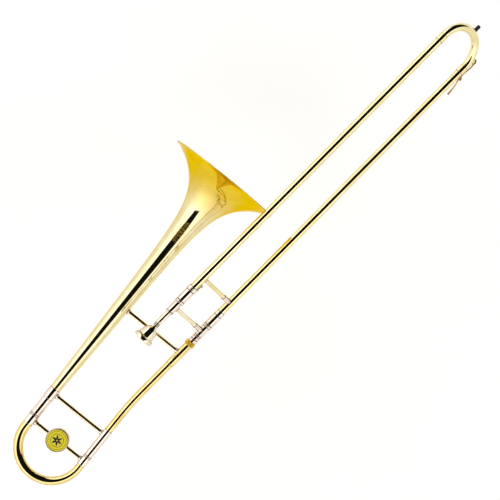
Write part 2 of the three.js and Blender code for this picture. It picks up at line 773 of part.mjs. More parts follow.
function addGooseneck() {
  // From the lower sleeve the neck runs straight, bends gently and meets the slide's axis.
  const bendReach = 31;
  const cos = Math.cos(bellTilt);
  const sin = Math.sin(bellTilt);
  const first = backToX(lowerSleeveEnd) - gooseneckInsert + rest;
  const socketSeat = socketStart + 8;
  const path = new THREE.Path();
  path.moveTo(neckX + first * cos, first * sin);
  path.lineTo(neckX - bendReach * cos, -bendReach * sin);
  path.quadraticCurveTo(neckX, 0, neckX + bendReach, 0);
  path.lineTo(socketSeat - rest, 0);
  const length = path.getLength();
  const bendStart = -bendReach - first;
  const bendEnd = length - (socketSeat - rest - neckX - bendReach);
  const steps = 6;
  const bendStep = (bendEnd - bendStart) / steps;
  const middle = Array.from({ length: steps + 1 }, (_, i) => bendStart + bendStep * i);
  const neck = bentTube(path, [0, ...middle, length], () => gooseneckRadius, gooseneckWall);
  add(trombone, 'gooseneck', neck, lacqueredBrass);

  const tenonBore = holeRound(tenonRadius, running);
  const threadStart = nutStart - 1.3;
  add(trombone, 'gooseneck_socket', turned([
    [socketStart, gooseneckRadius + solder],
    [socketStart, socketRadius],
    [threadStart, socketRadius],
    [threadStart, socketThreadRadius],
    [socketEnd, socketThreadRadius],
    [socketEnd, tenonBore],
    [socketSeat, tenonBore],
    [socketSeat, gooseneckRadius + solder],
    [socketStart, gooseneckRadius + solder],
  ]), lacqueredBrass);

  const threadBore = holeRound(socketThreadRadius, running);
  const nutStep = socketEnd + 0.2;
  const nutMiddle = (nutStart + nutEnd) / 2;
  add(trombone, 'bell_lock_nut', turned([
    [nutStart, threadBore],
    [nutStart, nutRadius - 0.9],
    [nutStart + 1, nutRadius],
    [nutMiddle - 0.6, nutRadius],
    [nutMiddle, nutRadius - 0.5],
    [nutMiddle + 0.6, nutRadius],
    [nutEnd - 1, nutRadius],
    [nutEnd, nutRadius - 0.9],
    [nutEnd, holeRound(tenonRadius, 2 * running)],
    [nutStep, holeRound(tenonRadius, 2 * running)],
    [nutStep, threadBore],
    [nutStart, threadBore],
  ]), goldBrass);
}

function addBellBraces() {
  const sectionX = backToX(sectionBraceBack);
  addBrace(
    bellPlane,
    'section_brace',
    { x: sectionX, y: 0, radius: lowerSleeveRadius, socket: shortSocket },
    { x: sectionX, y: legSpacing, radius: tailFerruleRadius, socket: shortSocket },
    chrome,
  );
  const braceX = backToX(bellBraceBack);
  const neckY = -braceX * Math.tan(bellTilt);
  const bellHere = bellRadius(bellBraceBack - footRadius);
  addBrace(
    bellPlane,
    'bell_brace',
    { x: braceX, y: neckY, radius: socketRadius, socket: shortSocket, lean: -bellTilt },
    { x: braceX, y: legSpacing, radius: bellHere, socket: shortSocket },
    chrome,
  );
}

// ---- tuning slide ----

function addTuningSlide() {
  const radius = legSpacing / 2;
  const bowX = backToX(bowCentreBack);
  const ferruleStartX = backToX(tuningFerruleBack);
  const ferruleEndX = backToX(tuningFerruleFront);
  const joint = (ferruleStartX + ferruleEndX) / 2;
  const path = new THREE.Path();
  path.moveTo(joint - rest, legSpacing);
  path.lineTo(bowX, legSpacing);
  path.absarc(bowX, radius, radius, Math.PI / 2, (3 * Math.PI) / 2, false);
  path.lineTo(joint - rest, 0);
  const length = path.getLength();
  const straight = joint - rest - bowX;
  const radiusAt = (s) => {
    const share = THREE.MathUtils.clamp((s - straight) / (length - 2 * straight), 0, 1);
    return share < 0.5
      ? THREE.MathUtils.lerp(upperBowRadius, apexBowRadius, 2 * share)
      : THREE.MathUtils.lerp(apexBowRadius, lowerBowRadius, 2 * share - 1);
  };
  const bow = bentTube(path, bendStations(straight, length, 16), radiusAt, bowWall);
  add(bellPlane, 'tuning_bow', bow, lacqueredBrass);

  const lowerEnd = lowerSleeveEnd + gooseneckInsert + 1;
  const upperEnd = upperSleeveEnd + 2;
  const legs = [
    { name: 'lower', y: 0, leg: lowerLegRadius, bowEnd: lowerBowRadius, end: lowerEnd },
    { name: 'upper', y: legSpacing, leg: upperLegRadius, bowEnd: upperBowRadius, end: upperEnd },
  ];
  const ferruleRadius = ({ leg, bowEnd }) => Math.max(leg, bowEnd) + tuningFerruleWall;
  for (const { name, y, leg, bowEnd, end } of legs) {
    const outer = ferruleRadius({ leg, bowEnd });
    const line = new THREE.Group();
    line.position.y = y;
    bellPlane.add(line);
    add(line, `${name}_tuning_leg`, ring(joint + rest, backToX(end), leg, leg - legWall), silverPlate);
    add(line, `${name}_tuning_ferrule`, turned([
      [ferruleStartX, bowEnd + solder],
      [ferruleStartX, outer],
      [ferruleEndX, outer],
      [ferruleEndX, leg + solder],
      [joint, leg + solder],
      [joint, bowEnd + solder],
      [ferruleStartX, bowEnd + solder],
    ]), nickelSilver);
  }
  addBrace(
    bellPlane,
    'tuning_brace',
    { x: joint, y: 0, radius: ferruleRadius(legs[0]), socket: shortSocket },
    { x: joint, y: legSpacing, radius: ferruleRadius(legs[1]), socket: shortSocket },
    chrome,
  );

  // The counterweight is a thick disc threaded on the brace's rod, with an inlaid face.
  const weight = new THREE.Group();
  weight.position.set(joint, radius, 0);
  bellPlane.add(weight);
  const half = weightDepth / 2;
  const recess = half - weightFaceDepth;
  const outline = [
    [-half, 0],
    [-half, weightRadius - 1.5],
    [-half + 1.5, weightRadius],
    [half - 1, weightRadius],
    [half, weightRadius - 1],
    [half, weightFaceRadius + 0.2],
    [recess - 0.1, weightFaceRadius + 0.2],
    [recess - 0.1, 0],
  ];
  const body = turned(outline, 36).rotateY(-Math.PI / 2);
  const rodHole = rod(-30, 30, holeRound(rodRadius, 0.1, smallSides), smallSides).rotateZ(Math.PI / 2);
  add(weight, 'counterweight_body', cut(body, rodHole), silverPlate);
  const face = rod(recess, half - 0.2, weightFaceRadius, 36).rotateY(-Math.PI / 2);
  add(weight, 'counterweight_face', face, yellowEnamel);
  const screwOutline = [[-2.2, 0], [-2.2, 2.6], [-0.8, 3.1], [0, 3.1], [0, 0]];
  const screw = turned(screwOutline, smallSides).rotateY(-Math.PI / 2);
  add(weight, 'counterweight_screw', screw.translate(0, 0, -half - 0.1), steel);
}

addInnerSlide();
addMouthpiece();
addSlideLock();
addOuterSlide();
addWaterKey();
addBell();
addGooseneck();
addBellBraces();
addTuningSlide();

export default trombone;
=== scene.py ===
import json
import math

import bmesh
import bpy
from mathutils import Matrix, Vector


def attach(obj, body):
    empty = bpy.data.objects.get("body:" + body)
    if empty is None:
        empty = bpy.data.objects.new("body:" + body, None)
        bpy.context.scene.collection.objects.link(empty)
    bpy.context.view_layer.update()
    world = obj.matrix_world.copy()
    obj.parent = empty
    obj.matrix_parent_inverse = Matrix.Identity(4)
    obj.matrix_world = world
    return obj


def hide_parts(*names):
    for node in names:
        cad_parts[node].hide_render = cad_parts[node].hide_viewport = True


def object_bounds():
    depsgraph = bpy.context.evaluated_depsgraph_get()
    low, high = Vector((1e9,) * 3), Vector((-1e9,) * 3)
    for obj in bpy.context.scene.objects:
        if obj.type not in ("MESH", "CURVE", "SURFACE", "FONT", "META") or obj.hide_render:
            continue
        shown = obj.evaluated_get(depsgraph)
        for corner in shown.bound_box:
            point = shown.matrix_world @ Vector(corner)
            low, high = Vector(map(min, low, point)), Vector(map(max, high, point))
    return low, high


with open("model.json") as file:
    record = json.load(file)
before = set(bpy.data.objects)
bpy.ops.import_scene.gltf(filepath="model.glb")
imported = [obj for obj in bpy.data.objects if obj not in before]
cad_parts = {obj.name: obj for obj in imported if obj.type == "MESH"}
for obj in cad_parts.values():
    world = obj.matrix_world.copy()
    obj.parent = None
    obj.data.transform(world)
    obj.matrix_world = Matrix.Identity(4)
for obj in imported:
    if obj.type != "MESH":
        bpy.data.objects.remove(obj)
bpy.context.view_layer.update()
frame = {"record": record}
BODY_OF = {
    node: body
    for body, nodes in frame["record"]["behaviour"]["bodies"].items()
    for node in nodes
}

# ---------------------------------------------------------------- sizes, in millimetres
MM = 0.001
TUBE_SPACING = 91.0
SLIDE_TURN = math.pi / 4
BELL_TILT = math.radians(6.05)
NECK_X = -182.3
BELL_REACH = 417.3
LEG_SPACING = 120.0

BORE = 6.3
INNER_TUBE = 6.6
STOCKING = 6.75
STOCKING_LENGTH = 115.0
OUTER_BORE = 6.85
OUTER_TUBE = 7.15
OUTER_START = 24.0
OVERSLEEVE = 7.55
UPPER_OVERSLEEVE_END = 95.0
LOWER_OVERSLEEVE_END = 122.6
OUTER_BRACE_X = 70.5
BOW_FERRULE_START = 649.6
BOW_FERRULE_LENGTH = 13.9
BOW_FERRULE = 7.65
BOW_WALL = 0.35
INNER_END = BOW_FERRULE_START - 4.6
BOW_START = BOW_FERRULE_START + BOW_FERRULE_LENGTH
BOW_RADIUS = TUBE_SPACING / 2
BOW_STRAIGHT = BOW_FERRULE_LENGTH / 2 - 0.2

JOINT_DEPTH = 0.45  # of the turned lines at the soldered joints
FERRULE_START = -13.5
FLANGE_START = 10.2
FLANGE_END = 15.3
BARREL_BORE = 7.75
BARREL = 8.7
BARREL_END = 48.6
FELT_START = 16.5
FELT_LENGTH = 6.5
RECEIVER = 7.5
RING_START = 39.7
RING_SEAT = 8.25
LOCK_LIP = 8.5
LOCK_RING = 9.6
LOCK_ARM_TURN = math.radians(124)
LOCK_ARM_HALF = math.radians(14)
LOCK_THROW = math.radians(28)
STUD_X = 57.0
TENON = 6.9
TENON_START = -72.0
COLLAR_START = -26.0
GOOSENECK = 7.25
SOCKET = 7.9
SOCKET_THREAD = 7.5
SOCKET_START = -82.4
SOCKET_END = -29.2
NUT_START = -34.9
NUT_END = -26.3
NUT = 9.6

RIM_X = -79.7
SHANK_END = 6.0
SHANK = 5.15

BELL_WALL = 0.5
SEAM_BACK = 150.0
BELL_TAIL = 488.0
BOW_CENTRE_BACK = 563.0
TUNING_FERRULE_BACK = 556.0
TUNING_FERRULE_FRONT = 538.2
SLEEVE_BACK = 537.9
UPPER_BOW = 9.35
APEX_BOW = 8.2
LOWER_BOW = 7.45
UPPER_LEG = 9.1
LOWER_LEG = 7.5
UPPER_SLEEVE_END = 489.2
LOWER_SLEEVE_END = 477.0
TAIL_FERRULE_BACK = 500.0
TAIL_FERRULE_FRONT = 478.0
TAIL_FERRULE = 10.72
SECTION_BRACE_BACK = 487.6
BELL_BRACE_BACK = 291.0
ORNAMENT_BACK = 122.0
ORNAMENT_SCALE = 1.4
ORNAMENT_LINE = 0.45
ORNAMENT_HEIGHT = 0.04

ROD = 4.1
FOOT = 5.5
FOOT_DEPTH = 1.6
SHORT_SOCKET = 4.5
INNER_BRACE_SOCKET = 16.0
OUTER_BRACE_SOCKET = 15.0

WEIGHT = 21.5
WEIGHT_HALF = 7.0
WEIGHT_FACE = 19.0

NIPPLE_TURN = math.radians(21)
PIVOT_X = 644.5
PIVOT_DROP = 12.0
KEY_REACH = 33.0

ROUND = 96  # sides of a turned piece
SMALL = 48
SHARP_TURN = math.radians(25)  # corners that turn less aren't eased
EASED_SHARE = 0.38  # of the shorter side at a corner
ON_AXIS = 1e-6  # a smaller radius is on the axis
STRIP_POWER = 0.42  # how square a flat bar's section is, from 1, round, to 0

# ---------------------------------------------------------------- frames of the assembly
SLIDE = Matrix.Rotation(SLIDE_TURN, 4, "X")
BELL = Matrix.Translation((NECK_X, 0, 0)) @ Matrix.Rotation(BELL_TILT, 4, "Z")
UPPER = SLIDE @ Matrix.Translation((0, TUBE_SPACING, 0))
BELL_AXIS = BELL @ Matrix.Translation((0, LEG_SPACING, 0))


def back_to_x(back):
    return BELL_REACH - back


def bell_radius(back):
    flare = 84.1 * math.exp(-((max(back, 0.0) / 34.06) ** 0.932))
    return 23.145 - 0.0276 * back + flare


# ---------------------------------------------------------------- shapes
def polar(radius, angle):
    return Vector((radius * math.cos(angle), radius * math.sin(angle)))


def spun(x, radius, angle):
    """The point at x and radius, turned by angle about X."""
    return Vector((x, radius * math.cos(angle), radius * math.sin(angle)))


def full_turn(count):
    return [2 * math.pi * k / count for k in range(count)]


def eased(outline, size, closed):
    """The outline with its corners rounded off by up to size."""
    points = [Vector(p) for p in outline]
    count = len(points)
    result = []
    for i, point in enumerate(points):
        if not closed and i in (0, count - 1):
            result.append(point)
            continue
        to_before = points[i - 1] - point
        to_after = points[(i + 1) % count] - point
        turn = math.pi - to_before.angle(to_after, math.pi)
        if turn < SHARP_TURN or point.y < ON_AXIS:
            result.append(point)
            continue
        reach = min(size, EASED_SHARE * to_before.length, EASED_SHARE * to_after.length)
        first = point + to_before.normalized() * reach
        last = point + to_after.normalized() * reach
        for step in range(4):
            t = step / 3
            result.append(first * (1 - t) ** 2 + point * 2 * t * (1 - t) + last * t * t)
    return [(p.x, p.y) for p in result]


def bridge(bm, rows, closed=False):
    """Faces between neighbouring rings of points. A ring of one point is the tip of a fan."""
    faces = []
    for one, two in zip(rows, rows[1:] + rows[:1] if closed else rows[1:]):
        count = max(len(one), len(two))
        for k in range(count if count > 1 else 0):
            n = (k + 1) % count
            corners = (one[k % len(one)], two[k % len(two)], two[n % len(two)], one[n % len(one)])
            faces.append(bm.faces.new(tuple(dict.fromkeys(corners))))
    return faces


def heading(line, i):
    """The unit direction of a line of points at point i."""
    return (line[min(i + 1, len(line) - 1)] - line[max(i - 1, 0)]).normalized()


def turned_mesh(bm, outline, place, sides=ROUND, ease=0.3, wave=None):
    """Adds a solid turned about X. place maps a point in millimetres to its final place.

    An outline that doesn't start on the axis is closed. wave(x, radius, angle) gives the radius
    where a surface isn't plainly round.
    """
    closed = outline[0][1] > ON_AXIS
    rows = []
    for x, radius in eased(outline, ease, closed) if ease else outline:
        angles = full_turn(sides) if radius > ON_AXIS else [0.0]
        rows.append([bm.verts.new(place(spun(x, wave(x, radius, a) if wave else radius, a)) * MM)
                     for a in angles])
    bridge(bm, rows, closed)


def in_frame(matrix):
    return lambda point: matrix @ point


def along(path, matrix):
    """Bends a solid that lies along X to a path in the frame's XY plane."""

    def place(point):
        centre, ahead = path(point.x)
        bent = Vector((centre.x - ahead.y * point.y, centre.y + ahead.x * point.y, point.z))
        return matrix @ bent

    return place


def arc_path(start, straight, centre, radius, ahead, first_angle, sweep):
    """A straight, an arc and a straight, as a function of the distance along it."""
    length = radius * sweep

    def at(distance):
        if distance < straight:
            return Vector(start) + Vector(ahead) * distance, Vector(ahead)
        turned_by = min(distance - straight, length)
        angle = first_angle + turned_by / radius
        tangent = polar(1, angle + math.pi / 2)
        beyond = distance - straight - turned_by
        return Vector(centre) + polar(radius, angle) + tangent * beyond, tangent

    return at, 2 * straight + length


def finish_mesh(name, bm, slot, node=None, body=None, auto=30, look=None, second="tarnish_and_painted_shade"):
    """Turns the bmesh into a shown piece that rides on its body and stands for its node.

    auto is the angle in degrees above which an edge is sharp. look and second name the materials
    of the piece and of its faces with material index 1.
    """
    bmesh.ops.remove_doubles(bm, verts=bm.verts, dist=1e-7)
    bmesh.ops.recalc_face_normals(bm, faces=bm.faces)
    shaded = any(face.material_index for face in bm.faces)
    mesh = bpy.data.meshes.new(name)
    bm.to_mesh(mesh)
    bm.free()
    mesh.shade_smooth()
    mesh.set_sharp_from_angle(angle=math.radians(auto))
    mesh.materials.append(MATERIALS[look or slot])
    if shaded:
        mesh.materials.append(MATERIALS[second])
    obj = bpy.data.objects.new(name, mesh)
    bpy.context.scene.collection.objects.link(obj)
    weighted = obj.modifiers.new("weighted_normals", "WEIGHTED_NORMAL")
    weighted.keep_sharp = True
    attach(obj, body or BODY_OF[node])
    if node:
        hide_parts(node)


def mark_tarnish_and_painted_shade(bm, matrix, places, below):
    """Marks the faces at the places along X that lie deeper than a radius, for the near-black
    second material: partly tarnishing, partly painted shade.
    """
    back = matrix.inverted()
    for face in bm.faces:
        point = back @ (face.calc_center_median() / MM)
        if math.hypot(point.y, point.z) < below and any(a < point.x < b for a, b in places):
            face.material_index = 1


def groove(x, radius, depth=0.4, width=1.3):
    """Outline points of a turned groove, from low X to high X."""
    half = width / 2
    return [(x - half, radius), (x - half * 0.6, radius - depth), (x + half * 0.6, radius - depth),
            (x + half, radius)]


def turned(node, outline, matrix, slot, dark=(), below=0.0, sides=ROUND, ease=0.3, wave=None,
           place=None, **finish):
    """A node's piece, turned about the matrix's X, or placed point by point by place.

    dark lists the stretches along X whose faces under the radius below take the second material. By
    default that material is near-black, partly real tarnishing and partly painted shade in the
    grooves and joints.
    """
    bm = bmesh.new()
    turned_mesh(bm, outline, place or in_frame(matrix), sides, ease, wave)
    if dark:
        mark_tarnish_and_painted_shade(bm, matrix, dark, below)
    finish_mesh(node + "_fine", bm, slot, node, **finish)


def ring_outline(start, end, outer, inner):
    return [(start, inner), (start, outer), (end, outer), (end, inner)]


def pipe(node, path, matrix, slot, stations, radius_at, wall, sides=ROUND):
    """A bent tube along a path, open at both ends."""
    outline = [(s, radius_at(s)) for s in stations]
    outline += [(s, radius_at(s) - wall) for s in reversed(stations)]
    turned(node, outline, None, slot, sides=sides, ease=0, place=along(path, matrix))


# ---------------------------------------------------------------- materials
def linear(r, g, b):
    """A colour given as 0 to 255 display values."""

    def channel(value):
        value /= 255
        return value / 12.92 if value <= 0.04045 else ((value + 0.055) / 1.055) ** 2.4

    return (channel(r), channel(g), channel(b), 1.0)


class Graph:
    """A short way to write the nodes of a material or a world."""

    def __init__(self, owner, coordinates):
        owner.use_nodes = True
        self.owner = owner
        self.nodes = owner.node_tree.nodes
        self.links = owner.node_tree.links
        self.position = self.node("ShaderNodeTexCoord").outputs[coordinates]

    def put(self, value, socket):
        if isinstance(value, bpy.types.NodeSocket):
            self.links.new(value, socket)
        else:
            socket.default_value = value

    def node(self, kind, inputs=None, **settings):
        made = self.nodes.new(kind)
        for key, value in settings.items():
            setattr(made, key, value)
        for key, value in (inputs or {}).items():
            self.put(value, made.inputs[key])
        return made

    def math(self, operation, *values, clamp=False):
        made = self.node("ShaderNodeMath", dict(enumerate(values)), operation=operation,
                         use_clamp=clamp)
        return made.outputs[0]

    def noise(self, scale, detail=3.0, roughness=0.5, stretch=None):
        where = self.position
        if stretch:
            where = self.node(
                "ShaderNodeMapping", {"Vector": where, "Rotation": stretch[1], "Scale": stretch[0]}
            ).outputs[0]
        return self.node(
            "ShaderNodeTexNoise",
            {"Vector": where, "Scale": scale, "Detail": detail, "Roughness": roughness},
        ).outputs["Fac"]

    def span(self, value, low, high, to_low=0.0, to_high=1.0, kind="LINEAR"):
        return self.node(
            "ShaderNodeMapRange",
            {"Value": value, "From Min": low, "From Max": high, "To Min": to_low,
             "To Max": to_high},
            interpolation_type=kind,
        ).outputs[0]

    def mix(self, factor, one, two):
        made = self.node("ShaderNodeMix", {}, data_type="RGBA")
        for index, value in ((0, factor), (6, one), (7, two)):
            self.put(value, made.inputs[index])
        return made.outputs[2]

    def bump(self, height, strength, distance, base=None):
        inputs = {"Height": height, "Strength": strength, "Distance": distance}
        if base is not None:
            inputs["Normal"] = base
        return self.node("ShaderNodeBump", inputs).outputs[0]

    def set(self, **inputs):
        for key, value in inputs.items():
            self.put(value, self.nodes["Principled BSDF"].inputs[key.replace("_", " ")])


def new_material(name):
    return Graph(bpy.data.materials.new(name), "Object")


def metal(name, bright, deep, tarnish_and_painted_shade, roughness, coat=0.0, turn=(0, 0, 0), tarnish_and_painted_shade_amount=0.5,
          gradient=None, edge=None):
    """Polished metal: drifting tone, polishing marks along the tube, and concave corners darkened
    partly by real tarnishing and partly by painted shade.

    Colours are display values. gradient is an axis, where another colour starts and is complete
    along it, and that colour's deep and bright tone. edge is the colour seen at a grazing angle.
    """
    g = new_material(name)
    bright, deep, tarnish_and_painted_shade = linear(*bright), linear(*deep), linear(*tarnish_and_painted_shade)
    drift = g.span(g.noise(38.0, 4.0, 0.55), 0.35, 0.65)
    colour = g.mix(drift, deep, bright)
    if gradient:
        axis, start, end, near = gradient
        place = g.node("ShaderNodeVectorMath", {0: g.position, 1: axis}, operation="DOT_PRODUCT")
        other = g.mix(drift, *(linear(*tone) for tone in near))
        colour = g.mix(g.span(place.outputs["Value"], start, end), colour, other)
    lines = g.noise(1.0, 2.0, 0.6, ((25.0, 2600.0, 2600.0), turn))
    smudge = g.span(g.noise(90.0, 5.0, 0.65), 0.52, 0.72)
    specks = g.span(g.noise(1500.0, 2.0, 0.5), 0.70, 0.76)
    corner = g.node("ShaderNodeNewGeometry").outputs["Pointiness"]
    # Concave corners, found by pointiness, darken towards the tarnished tone: partly real
    # tarnishing, partly painted shade where the corners lie in shadow.
    tarnish_and_painted_shade_mask = g.span(corner, 0.485, 0.42, 0.0, tarnish_and_painted_shade_amount)
    rubbed = g.span(corner, 0.54, 0.62, 0.0, 0.35)
    colour = g.mix(tarnish_and_painted_shade_mask, colour, tarnish_and_painted_shade)
    colour = g.mix(rubbed, colour, tuple(min(1.0, c * 1.2 + 0.04) for c in bright[:3]) + (1.0,))
    colour = g.mix(g.math("MULTIPLY", specks, 0.35 * tarnish_and_painted_shade_amount), colour, tarnish_and_painted_shade)
    shade = g.math("MULTIPLY_ADD", lines, 0.03, roughness - 0.015)
    shade = g.math("MULTIPLY_ADD", smudge, 0.04, shade)
    shade = g.math("MULTIPLY_ADD", tarnish_and_painted_shade_mask, 0.25, shade, clamp=True)
    normal = g.bump(lines, 0.04, 0.00001)
    normal = g.bump(g.noise(420.0, 2.0), 0.04, 0.00002, normal)
    g.set(
        Base_Color=colour,
        Metallic=1.0,
        Roughness=shade,
        Normal=normal,
        Coat_Weight=coat,
        Coat_Roughness=0.06,
        Specular_Tint=linear(*edge) if edge else bright,
    )
    return g.owner


def enamel():
    g = new_material("yellow_enamel")
    cloud = g.span(g.noise(160.0, 4.0, 0.6), 0.35, 0.65)
    colour = g.mix(cloud, linear(250, 226, 40), linear(255, 238, 66))
    grain = g.noise(2400.0, 2.0)
    colour = g.mix(g.span(grain, 0.66, 0.74, 0.0, 0.4), colour, linear(176, 140, 26))
    normal = g.bump(grain, 0.12, 0.00003)
    g.set(
        Base_Color=colour,
        Metallic=0.0,
        Roughness=g.span(cloud, 0.0, 1.0, 0.3, 0.42),
        Normal=normal,
        Coat_Weight=0.6,
        Coat_Roughness=0.08,
    )
    return g.owner


def matte(name, light, dark, scale, roughness, bump, specular=0.4):
    g = new_material(name)
    cloud = g.span(g.noise(scale, 5.0, 0.65), 0.3, 0.7)
    fine = g.noise(scale * 6, 3.0, 0.7)
    light, dark = linear(*light), linear(*dark)
    colour = g.mix(cloud, dark, light)
    colour = g.mix(g.span(fine, 0.58, 0.7, 0.0, 0.6), colour, dark)
    g.set(
        Base_Color=colour,
        Metallic=0.0,
        Roughness=g.span(fine, 0.3, 0.7, roughness - 0.08, roughness + 0.08),
        Normal=g.bump(fine, bump, 0.0001),
        Specular_IOR_Level=specular,
    )
    return g.owner


BELL_DIRECTION = (math.cos(BELL_TILT), math.sin(BELL_TILT), 0.0)
BELL_RIM_ALONG = (BELL.inverted() @ Vector((0, 0, 0))).x  # the frame's origin along the bell
RIM_AT = (BELL_REACH - BELL_RIM_ALONG) * MM

ACROSS = (0, 0, math.pi / 2)  # the chromed rods run across the slide
METALS = {
    "nickel_silver": ((238, 224, 210), (222, 204, 188), (104, 72, 54), 0.07),
    "pale_brass": ((240, 229, 184), (232, 216, 160), (150, 112, 48), 0.06, 0.15),
    "lacquered_brass": ((236, 217, 158), (224, 198, 128), (122, 80, 26), 0.07, 0.15),
    "aged_brass": ((190, 152, 84), (150, 110, 54), (70, 42, 14), 0.2, 0.1, (0, 0, 0), 0.9),
    "gold_lacquer": ((228, 188, 70), (204, 158, 44), (96, 58, 14), 0.1, 0.2),
    "engraving": ((214, 176, 84), (178, 134, 50), (90, 54, 16), 0.4),
    "silver_plate": ((236, 226, 204), (222, 208, 184), (120, 100, 80), 0.06),
    "chrome": ((246, 236, 208), (236, 222, 190), (110, 96, 80), 0.06, 0.0, ACROSS),
    "steel": ((160, 140, 108), (120, 100, 74), (60, 44, 30), 0.26),
}
MATTES = {
    # The near-black brown put in grooves, joints and cut edges: partly real tarnishing, partly
    # painted shade.
    "tarnish_and_painted_shade": ((64, 40, 26), (24, 14, 10), 700.0, 0.5, 0.3),
    "black_rubber": ((40, 38, 40), (22, 20, 22), 500.0, 0.55, 0.4),
    "cork": ((196, 152, 104), (140, 98, 60), 900.0, 0.85, 0.8, 0.2),
    "felt": ((78, 78, 84), (48, 48, 54), 1600.0, 0.95, 1.0, 0.1),
}
MATERIALS = {name: metal(name, *values) for name, values in METALS.items()}
MATERIALS.update({name: matte(name, *values) for name, values in MATTES.items()})
MATERIALS["yellow_enamel"] = enamel()
MATERIALS["gold_brass"] = metal(
    "gold_brass", (234, 222, 182), (228, 212, 164), (132, 84, 20), 0.045, 0.0, (0, 0, -BELL_TILT),
    gradient=(BELL_DIRECTION, RIM_AT - 0.085, RIM_AT - 0.025, ((220, 186, 52), (230, 198, 66))),
    edge=(246, 226, 150),
)


# ---------------------------------------------------------------- hand slide, inner
def inner_tube(start):
    step = INNER_END - STOCKING_LENGTH
    return [
        (start, BORE), (start, INNER_TUBE), (step, INNER_TUBE), (step + 1, STOCKING),
        (INNER_END, STOCKING), (INNER_END, BORE),
    ]


def cork_barrel(ringed):
    lip = BARREL_END - 0.9
    step = BARREL - JOINT_DEPTH
    if ringed:
        end = [(RING_START, RING_SEAT), (lip, RING_SEAT), (lip, LOCK_LIP)]
    else:
        wide = BARREL + 0.2
        end = [(RING_START, wide), (lip, wide)]
    middle = (FLANGE_START + FLANGE_END) / 2
    return [
        (FLANGE_START, INNER_TUBE + 0.1),
        (FLANGE_START, 7.8),
        (FLANGE_START + 1.1, 8.95),
        (middle - 0.5, 8.95),
        (middle, 8.6),
        (middle + 0.5, 8.95),
        (FLANGE_END - 0.2, 8.95),
        (FLANGE_END, step),
        (FLANGE_END + 1.1, step),
        (FLANGE_END + 1.3, BARREL),
        (RING_START - 1.3, BARREL),
        (RING_START - 1.1, step),
        (RING_START, step),
        *end,
        (BARREL_END, BARREL_BORE + 0.2),
        (BARREL_END, BARREL_BORE),
        (FELT_START, BARREL_BORE),
        (FELT_START, INNER_TUBE + 0.1),
    ]


# Seam stretches on the cork barrels, darkened with the near-black second material: partly
# tarnishing, partly painted shade.
BARREL_SEAMS = (
    (FLANGE_START, FLANGE_START + 1.0), (FLANGE_END, FLANGE_END + 1.25),
    (RING_START - 1.25, RING_START), (BARREL_END - 0.9, BARREL_END),
)


def build_inner_slide():
    ferrule_end = FLANGE_START - 0.1
    hole = INNER_TUBE + 0.1
    seat = SHANK_END + 0.5
    mouth = SHANK + 0.017 * (SHANK_END - FERRULE_START) + 0.05
    turned("mouthpiece_receiver", [
        (FERRULE_START, mouth), (FERRULE_START, RECEIVER - 0.6), (FERRULE_START + 0.7, RECEIVER),
        *groove(FERRULE_START + 3.2, RECEIVER, JOINT_DEPTH), (ferrule_end, RECEIVER),
        (ferrule_end, hole), (seat, hole), (seat, SHANK + 0.05),
    ], UPPER, "nickel_silver", below=RECEIVER - 0.1,
        dark=[(FERRULE_START, FERRULE_START + 0.6), (FERRULE_START + 2.6, FERRULE_START + 3.8)])
    turned("upper_inner_tube", inner_tube(seat + 0.3), UPPER, "silver_plate")
    turned("leadpipe", [
        (seat + 0.3, SHANK), (seat + 0.3, BORE - 0.1), (222, BORE - 0.1), (222, BORE - 0.4),
    ], UPPER, "lacquered_brass")
    for name, matrix, ringed in (("upper", UPPER, True), ("lower", SLIDE, False)):
        turned(name + "_cork_barrel", cork_barrel(ringed), matrix, "nickel_silver",
               dark=BARREL_SEAMS, below=BARREL)
    inset = FERRULE_START + 7
    turned("slide_tenon", [
        (TENON_START, BORE), (TENON_START, TENON), (COLLAR_START, TENON),
        (COLLAR_START, 7.9), (COLLAR_START + 1.9, 7.9), (COLLAR_START + 1.9, 7.6),
        *groove(-19.8, 7.6, JOINT_DEPTH), (FERRULE_START - 1.0, 7.6),
        (FERRULE_START - 0.2, 7.1), (FERRULE_START - 0.2, TENON), (inset, TENON),
        (inset, BORE),
    ], SLIDE, "nickel_silver", below=7.5,
        dark=[(-20.4, -19.2), (FERRULE_START - 0.9, FERRULE_START - 0.2)])
    turned("lower_brace_ferrule", [
        (FERRULE_START, TENON + 0.1), (FERRULE_START, 7.4), (FERRULE_START + 0.5, 7.9),
        *groove(FERRULE_START + 3.2, 7.9, JOINT_DEPTH), (ferrule_end, 7.9), (ferrule_end, hole),
        (inset + 0.3, hole), (inset + 0.3, TENON + 0.1),
    ], SLIDE, "nickel_silver", below=7.8,
        dark=[(FERRULE_START, FERRULE_START + 0.5), (FERRULE_START + 2.6, FERRULE_START + 3.8)])
    turned("lower_inner_tube", inner_tube(inset + 0.3), SLIDE, "silver_plate")
    for name, matrix in (("upper", UPPER), ("lower", SLIDE)):
        start = FELT_START + 0.1
        turned(
            name + "_felt_bumper",
            ring_outline(start, start + FELT_LENGTH, BARREL_BORE - 0.1, INNER_TUBE + 0.3),
            matrix, "felt", ease=0.4,
        )
    build_brace(
        "inner_brace", SLIDE, (0, 0, 7.9, INNER_BRACE_SOCKET, 0),
        (0, TUBE_SPACING, RECEIVER, SHORT_SOCKET, 0), "chrome",
    )


